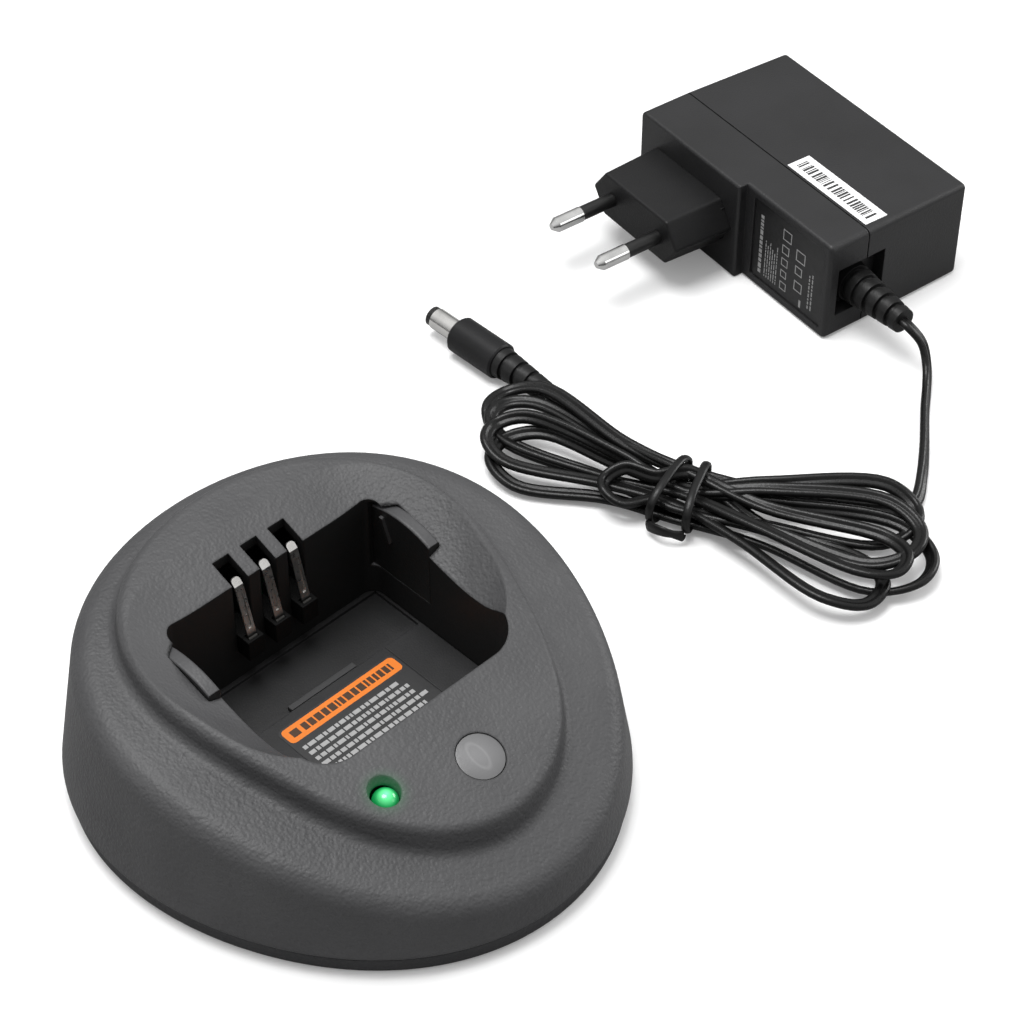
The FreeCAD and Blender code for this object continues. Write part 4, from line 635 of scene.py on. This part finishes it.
CORE_RADIUS, CORE_SPACING, LOWEST_CORD = 0.92, 1.62, 1.75
WAIST = Vector((103.7, 3.0, 0))
BUNDLE_WAY = Vector((0.37, -0.929, 0)).normalized()
BUNDLE_ACROSS = Vector((-BUNDLE_WAY.y, BUNDLE_WAY.x, 0))


def lobe(tip, half, z_out, z_in):
    """Points of one loop from the waist around its tip and back to the waist."""
    tip = Vector((tip[0], tip[1], 0))
    reach = tip - WAIST
    heading = reach.normalized()
    across = Vector((heading.y, -heading.x, 0))
    length = reach.length
    middle = WAIST + heading * length * 0.35
    near = WAIST + heading * (length - half * 1.05)
    z_tip = (z_out + z_in) / 2
    return [
        middle + across * (half * 0.55) + Vector((0, 0, z_out)),
        near + across * half + Vector((0, 0, z_out)),
        tip + Vector((0, 0, z_tip)) - heading * half * 0.12 + across * half * 0.42,
        tip + Vector((0, 0, z_tip)) - heading * half * 0.12 - across * half * 0.42,
        near - across * half + Vector((0, 0, z_in)),
        middle - across * (half * 0.55) + Vector((0, 0, z_in)),
    ]


def waist_point(slot, layer):
    """Place of one strand inside the tie."""
    return WAIST + BUNDLE_ACROSS * slot + Vector((0, 0, layer))


def cord_route():
    """Points from the end of the bend relief down to the bench, round the bundle and into the barrel plug."""
    c, s = math.cos(ADAPTER_TURN), math.sin(ADAPTER_TURN)
    start = Vector((ADAPTER_X + 87.6 * c + 1.5 * s, ADAPTER_Y + 87.6 * s - 1.5 * c, 12.0))
    points = [start - Vector((c, s, 0)) * 2.0, start + Vector((c, s, -0.1)) * 2.0]
    to_bundle = (
        (181.4, -3.4, 8.4), (179.6, -6.9, 4.2), (175.6, -10.4, 2.2), (169.2, -15.2, 1.9),
        (158.2, -24.1, 1.9), (151.0, -29.4, 1.9), (144.2, -33.6, 1.9), (139.0, -34.6, 2.4),
        (132.6, -29.0, 3.2), (124.0, -18.5, 4.2))
    points += [Vector(p) for p in to_bundle]
    # tip, half width and two layers of the left loop, its two slots in the waist, then the right loop
    turns = [
        (((96.5, 58.0), 8.0, 6.6, 2.2), (5.8, -1.8), ((137.0, -39.6), 7.5, 7.2, 2.2)),
        (((84.5, 46.0), 8.5, 4.4, 2.2), (3.4, -5.4), ((127.0, -52.0), 10.5, 4.6, 2.2)),
        (((86.5, 49.5), 6.5, 7.4, 4.4), (0.6, -3.6), ((112.0, -49.0), 9.0, 2.2, 5.2)),
        (((91.8, 17.2), 4.6, 8.0, 5.4), (4.8, -4.8), ((130.0, -46.0), 9.0, 8.0, 4.8)),
        (((93.8, 55.0), 7.0, 4.8, 3.6), (1.8, -0.4), ((121.5, -48.6), 7.0, 6.0, 7.2)),
    ]
    for (left, left_half, la, lb), (slot_a, slot_b), (right, right_half, ra, rb) in turns:
        points.append(waist_point(slot_a, (la + ra) / 2))
        points += lobe(left, left_half, la, lb)
        points.append(waist_point(slot_b, (lb + rb) / 2))
        points += lobe(right, right_half, rb, ra)
    points.append(waist_point(5.2, 7.6))
    to_plug = (
        (106.5, 20.0, 6.4), (106.9, 34.0, 5.2), (106.7, 44.0, 4.8), (106.6, 48.5, 4.7), (106.6, 51.2, 4.7))
    points += [Vector(p) for p in to_plug]
    return points


def cord():
    """One continuous two-core cord from the adapter through the tied bundle to the barrel plug."""
    bm = bmesh.new()
    path = [place(p.x, p.y, max(p.z, LOWEST_CORD)) for p in smooth_path(cord_route())]

    def lay(travelled):
        """Slow turn of the flat cord along its length."""
        return 0.35 * math.sin(travelled * 55.0) + 0.3 * math.sin(travelled * 23.0 + 1.0)

    sweep(bm, path, two_core_section(CORE_RADIUS, CORE_SPACING), lay)
    jacket = rubber("cord_vinyl", (0.005, 0.005, 0.005), 0.30, 2200)
    obj = mesh_object("power_cord_two_core", bm, jacket, "power_supply")
    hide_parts("power_cord")


def tie():
    """Flat wire tie wound twice round the bundle, with its twisted ends."""
    bm = bmesh.new()
    turn = [math.pi * k / 6 for k in range(12)]
    strap = [(0.55 * MM * math.cos(a), 1.05 * MM * math.sin(a)) for a in turn]
    for shift, lean in ((-3.4, 1.1), (3.4, -1.1)):
        ring = []
        for k in range(49):
            a = 2 * math.pi * k / 48 - math.pi / 2
            wide = 9.6 * math.copysign(abs(math.cos(a)) ** 0.75, math.cos(a))
            tall = 4.9 * math.copysign(abs(math.sin(a)) ** 0.75, math.sin(a))
            p = WAIST + BUNDLE_ACROSS * wide + BUNDLE_WAY * (shift + lean * math.cos(a))
            p.z += 5.6 + tall
            ring.append(place(p.x, p.y, max(p.z, 0.7)))
        sweep(bm, ring, strap, up=BUNDLE_WAY)
    # the two ends, laid across each other and bent up
    end = WAIST - BUNDLE_ACROSS * 10.2
    for start, finish, rise in ((-4.4, 4.2, 0.9), (4.4, -4.6, 1.5)):
        tail = []
        for k in range(13):
            s = k / 12
            bow = math.sin(math.pi * s)
            p = end + BUNDLE_WAY * (start + (finish - start) * s) - BUNDLE_ACROSS * (1.6 * bow)
            p += Vector((0, 0, 1.9 + rise * bow + 1.0 * s))
            tail.append(place(p.x, p.y, p.z))
        sweep(bm, tail, strap)
    soft = rubber("tie_vinyl", (0.006, 0.006, 0.006), 0.34, 1800)
    obj = mesh_object("cord_tie_wire", bm, soft, "power_supply")
    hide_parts("cord_tie")


cord()
tie()


# ---------------------------------------------------------------- floor, light and camera

def floor():
    """Wide pale bench under everything."""
    bm = bmesh.new()
    bmesh.ops.create_grid(bm, x_segments=1, y_segments=1, size=4.0)
    data = bpy.data.meshes.new("floor")
    bm.to_mesh(data)
    bm.free()
    obj = bpy.data.objects.new("floor", data)
    obj.location.z = -0.0001
    bpy.context.scene.collection.objects.link(obj)
    n = Nodes("floor_paper")
    fibre = n.noise(300, 3)
    # pale to the camera, greyer as a reflector, so that little light comes back up from it
    seen = n.tree.nodes.new("ShaderNodeLightPath").outputs["Is Camera Ray"]
    pale = n.mix(fibre, (0.86, 0.86, 0.86), (0.89, 0.89, 0.89))
    n.set(Base_Color=n.mix(seen, (0.34, 0.34, 0.34), pale), Roughness=0.9, Specular_IOR_Level=0.1)
    n.set(Emission_Color=(1.0, 1.0, 1.0), Emission_Strength=n.math("MULTIPLY", seen, FLOOR_GLOW))
    data.materials.append(n.material)


def area_light(name, spot, aim, size, power):
    """Round soft lamp at spot, in metres, turned towards aim."""
    light = bpy.data.lights.new(name, "AREA")
    light.shape = "DISK"
    light.size = size
    light.energy = power
    obj = bpy.data.objects.new(name, light)
    obj.location = spot
    obj.rotation_euler = (Vector(aim) - Vector(spot)).to_track_quat("-Z", "Y").to_euler()
    bpy.context.scene.collection.objects.link(obj)


FLOOR_GLOW = 0.13
floor()
area_light("soft_top", (-0.10, 0.15, 1.0), (0, 0, 0), 0.6, 8.6)
area_light("soft_left", (-1.0, 0.35, 0.45), (0, 0, 0), 0.5, 1.0)
area_light("soft_right", (1.0, -0.25, 0.35), (0, 0, 0), 0.5, 4.2)
area_light("soft_front", (0.55, -0.9, 0.45), (0.1, 0, 0), 0.5, 0.8)

world = bpy.data.worlds.new("studio")
world.use_nodes = True
sky = world.node_tree
backdrop = sky.nodes["Background"]
heading = sky.nodes.new("ShaderNodeTexCoord")
height = sky.nodes.new("ShaderNodeSeparateXYZ")
sky.links.new(heading.outputs["Generated"], height.inputs[0])
fade = sky.nodes.new("ShaderNodeMapRange")
for key, value in (("From Min", 0.05), ("From Max", 0.75), ("To Min", 0.10), ("To Max", 0.75)):
    fade.inputs[key].default_value = value
sky.links.new(height.outputs[2], fade.inputs["Value"])
path = sky.nodes.new("ShaderNodeLightPath")
strength = sky.nodes.new("ShaderNodeMix")
strength.inputs[3].default_value = 1.0
sky.links.new(path.outputs["Is Camera Ray"], strength.inputs[0])
sky.links.new(fade.outputs["Result"], strength.inputs[2])
sky.links.new(strength.outputs[0], backdrop.inputs["Strength"])
backdrop.inputs["Color"].default_value = (1.0, 1.0, 1.0, 1.0)
bpy.context.scene.world = world

camera_data = bpy.data.cameras.new("camera")
camera_data.sensor_width = 36.0
camera_data.lens = 98.4375
camera = bpy.data.objects.new("camera", camera_data)
camera.location = place(-250.5, -303.4, 450.1)
aim = place(75.2, 30.1, 0.0)
camera.rotation_euler = (aim - camera.location).to_track_quat("-Z", "Y").to_euler()
bpy.context.scene.collection.objects.link(camera)
bpy.context.scene.camera = camera
bpy.context.scene.view_settings.view_transform = "Standard"
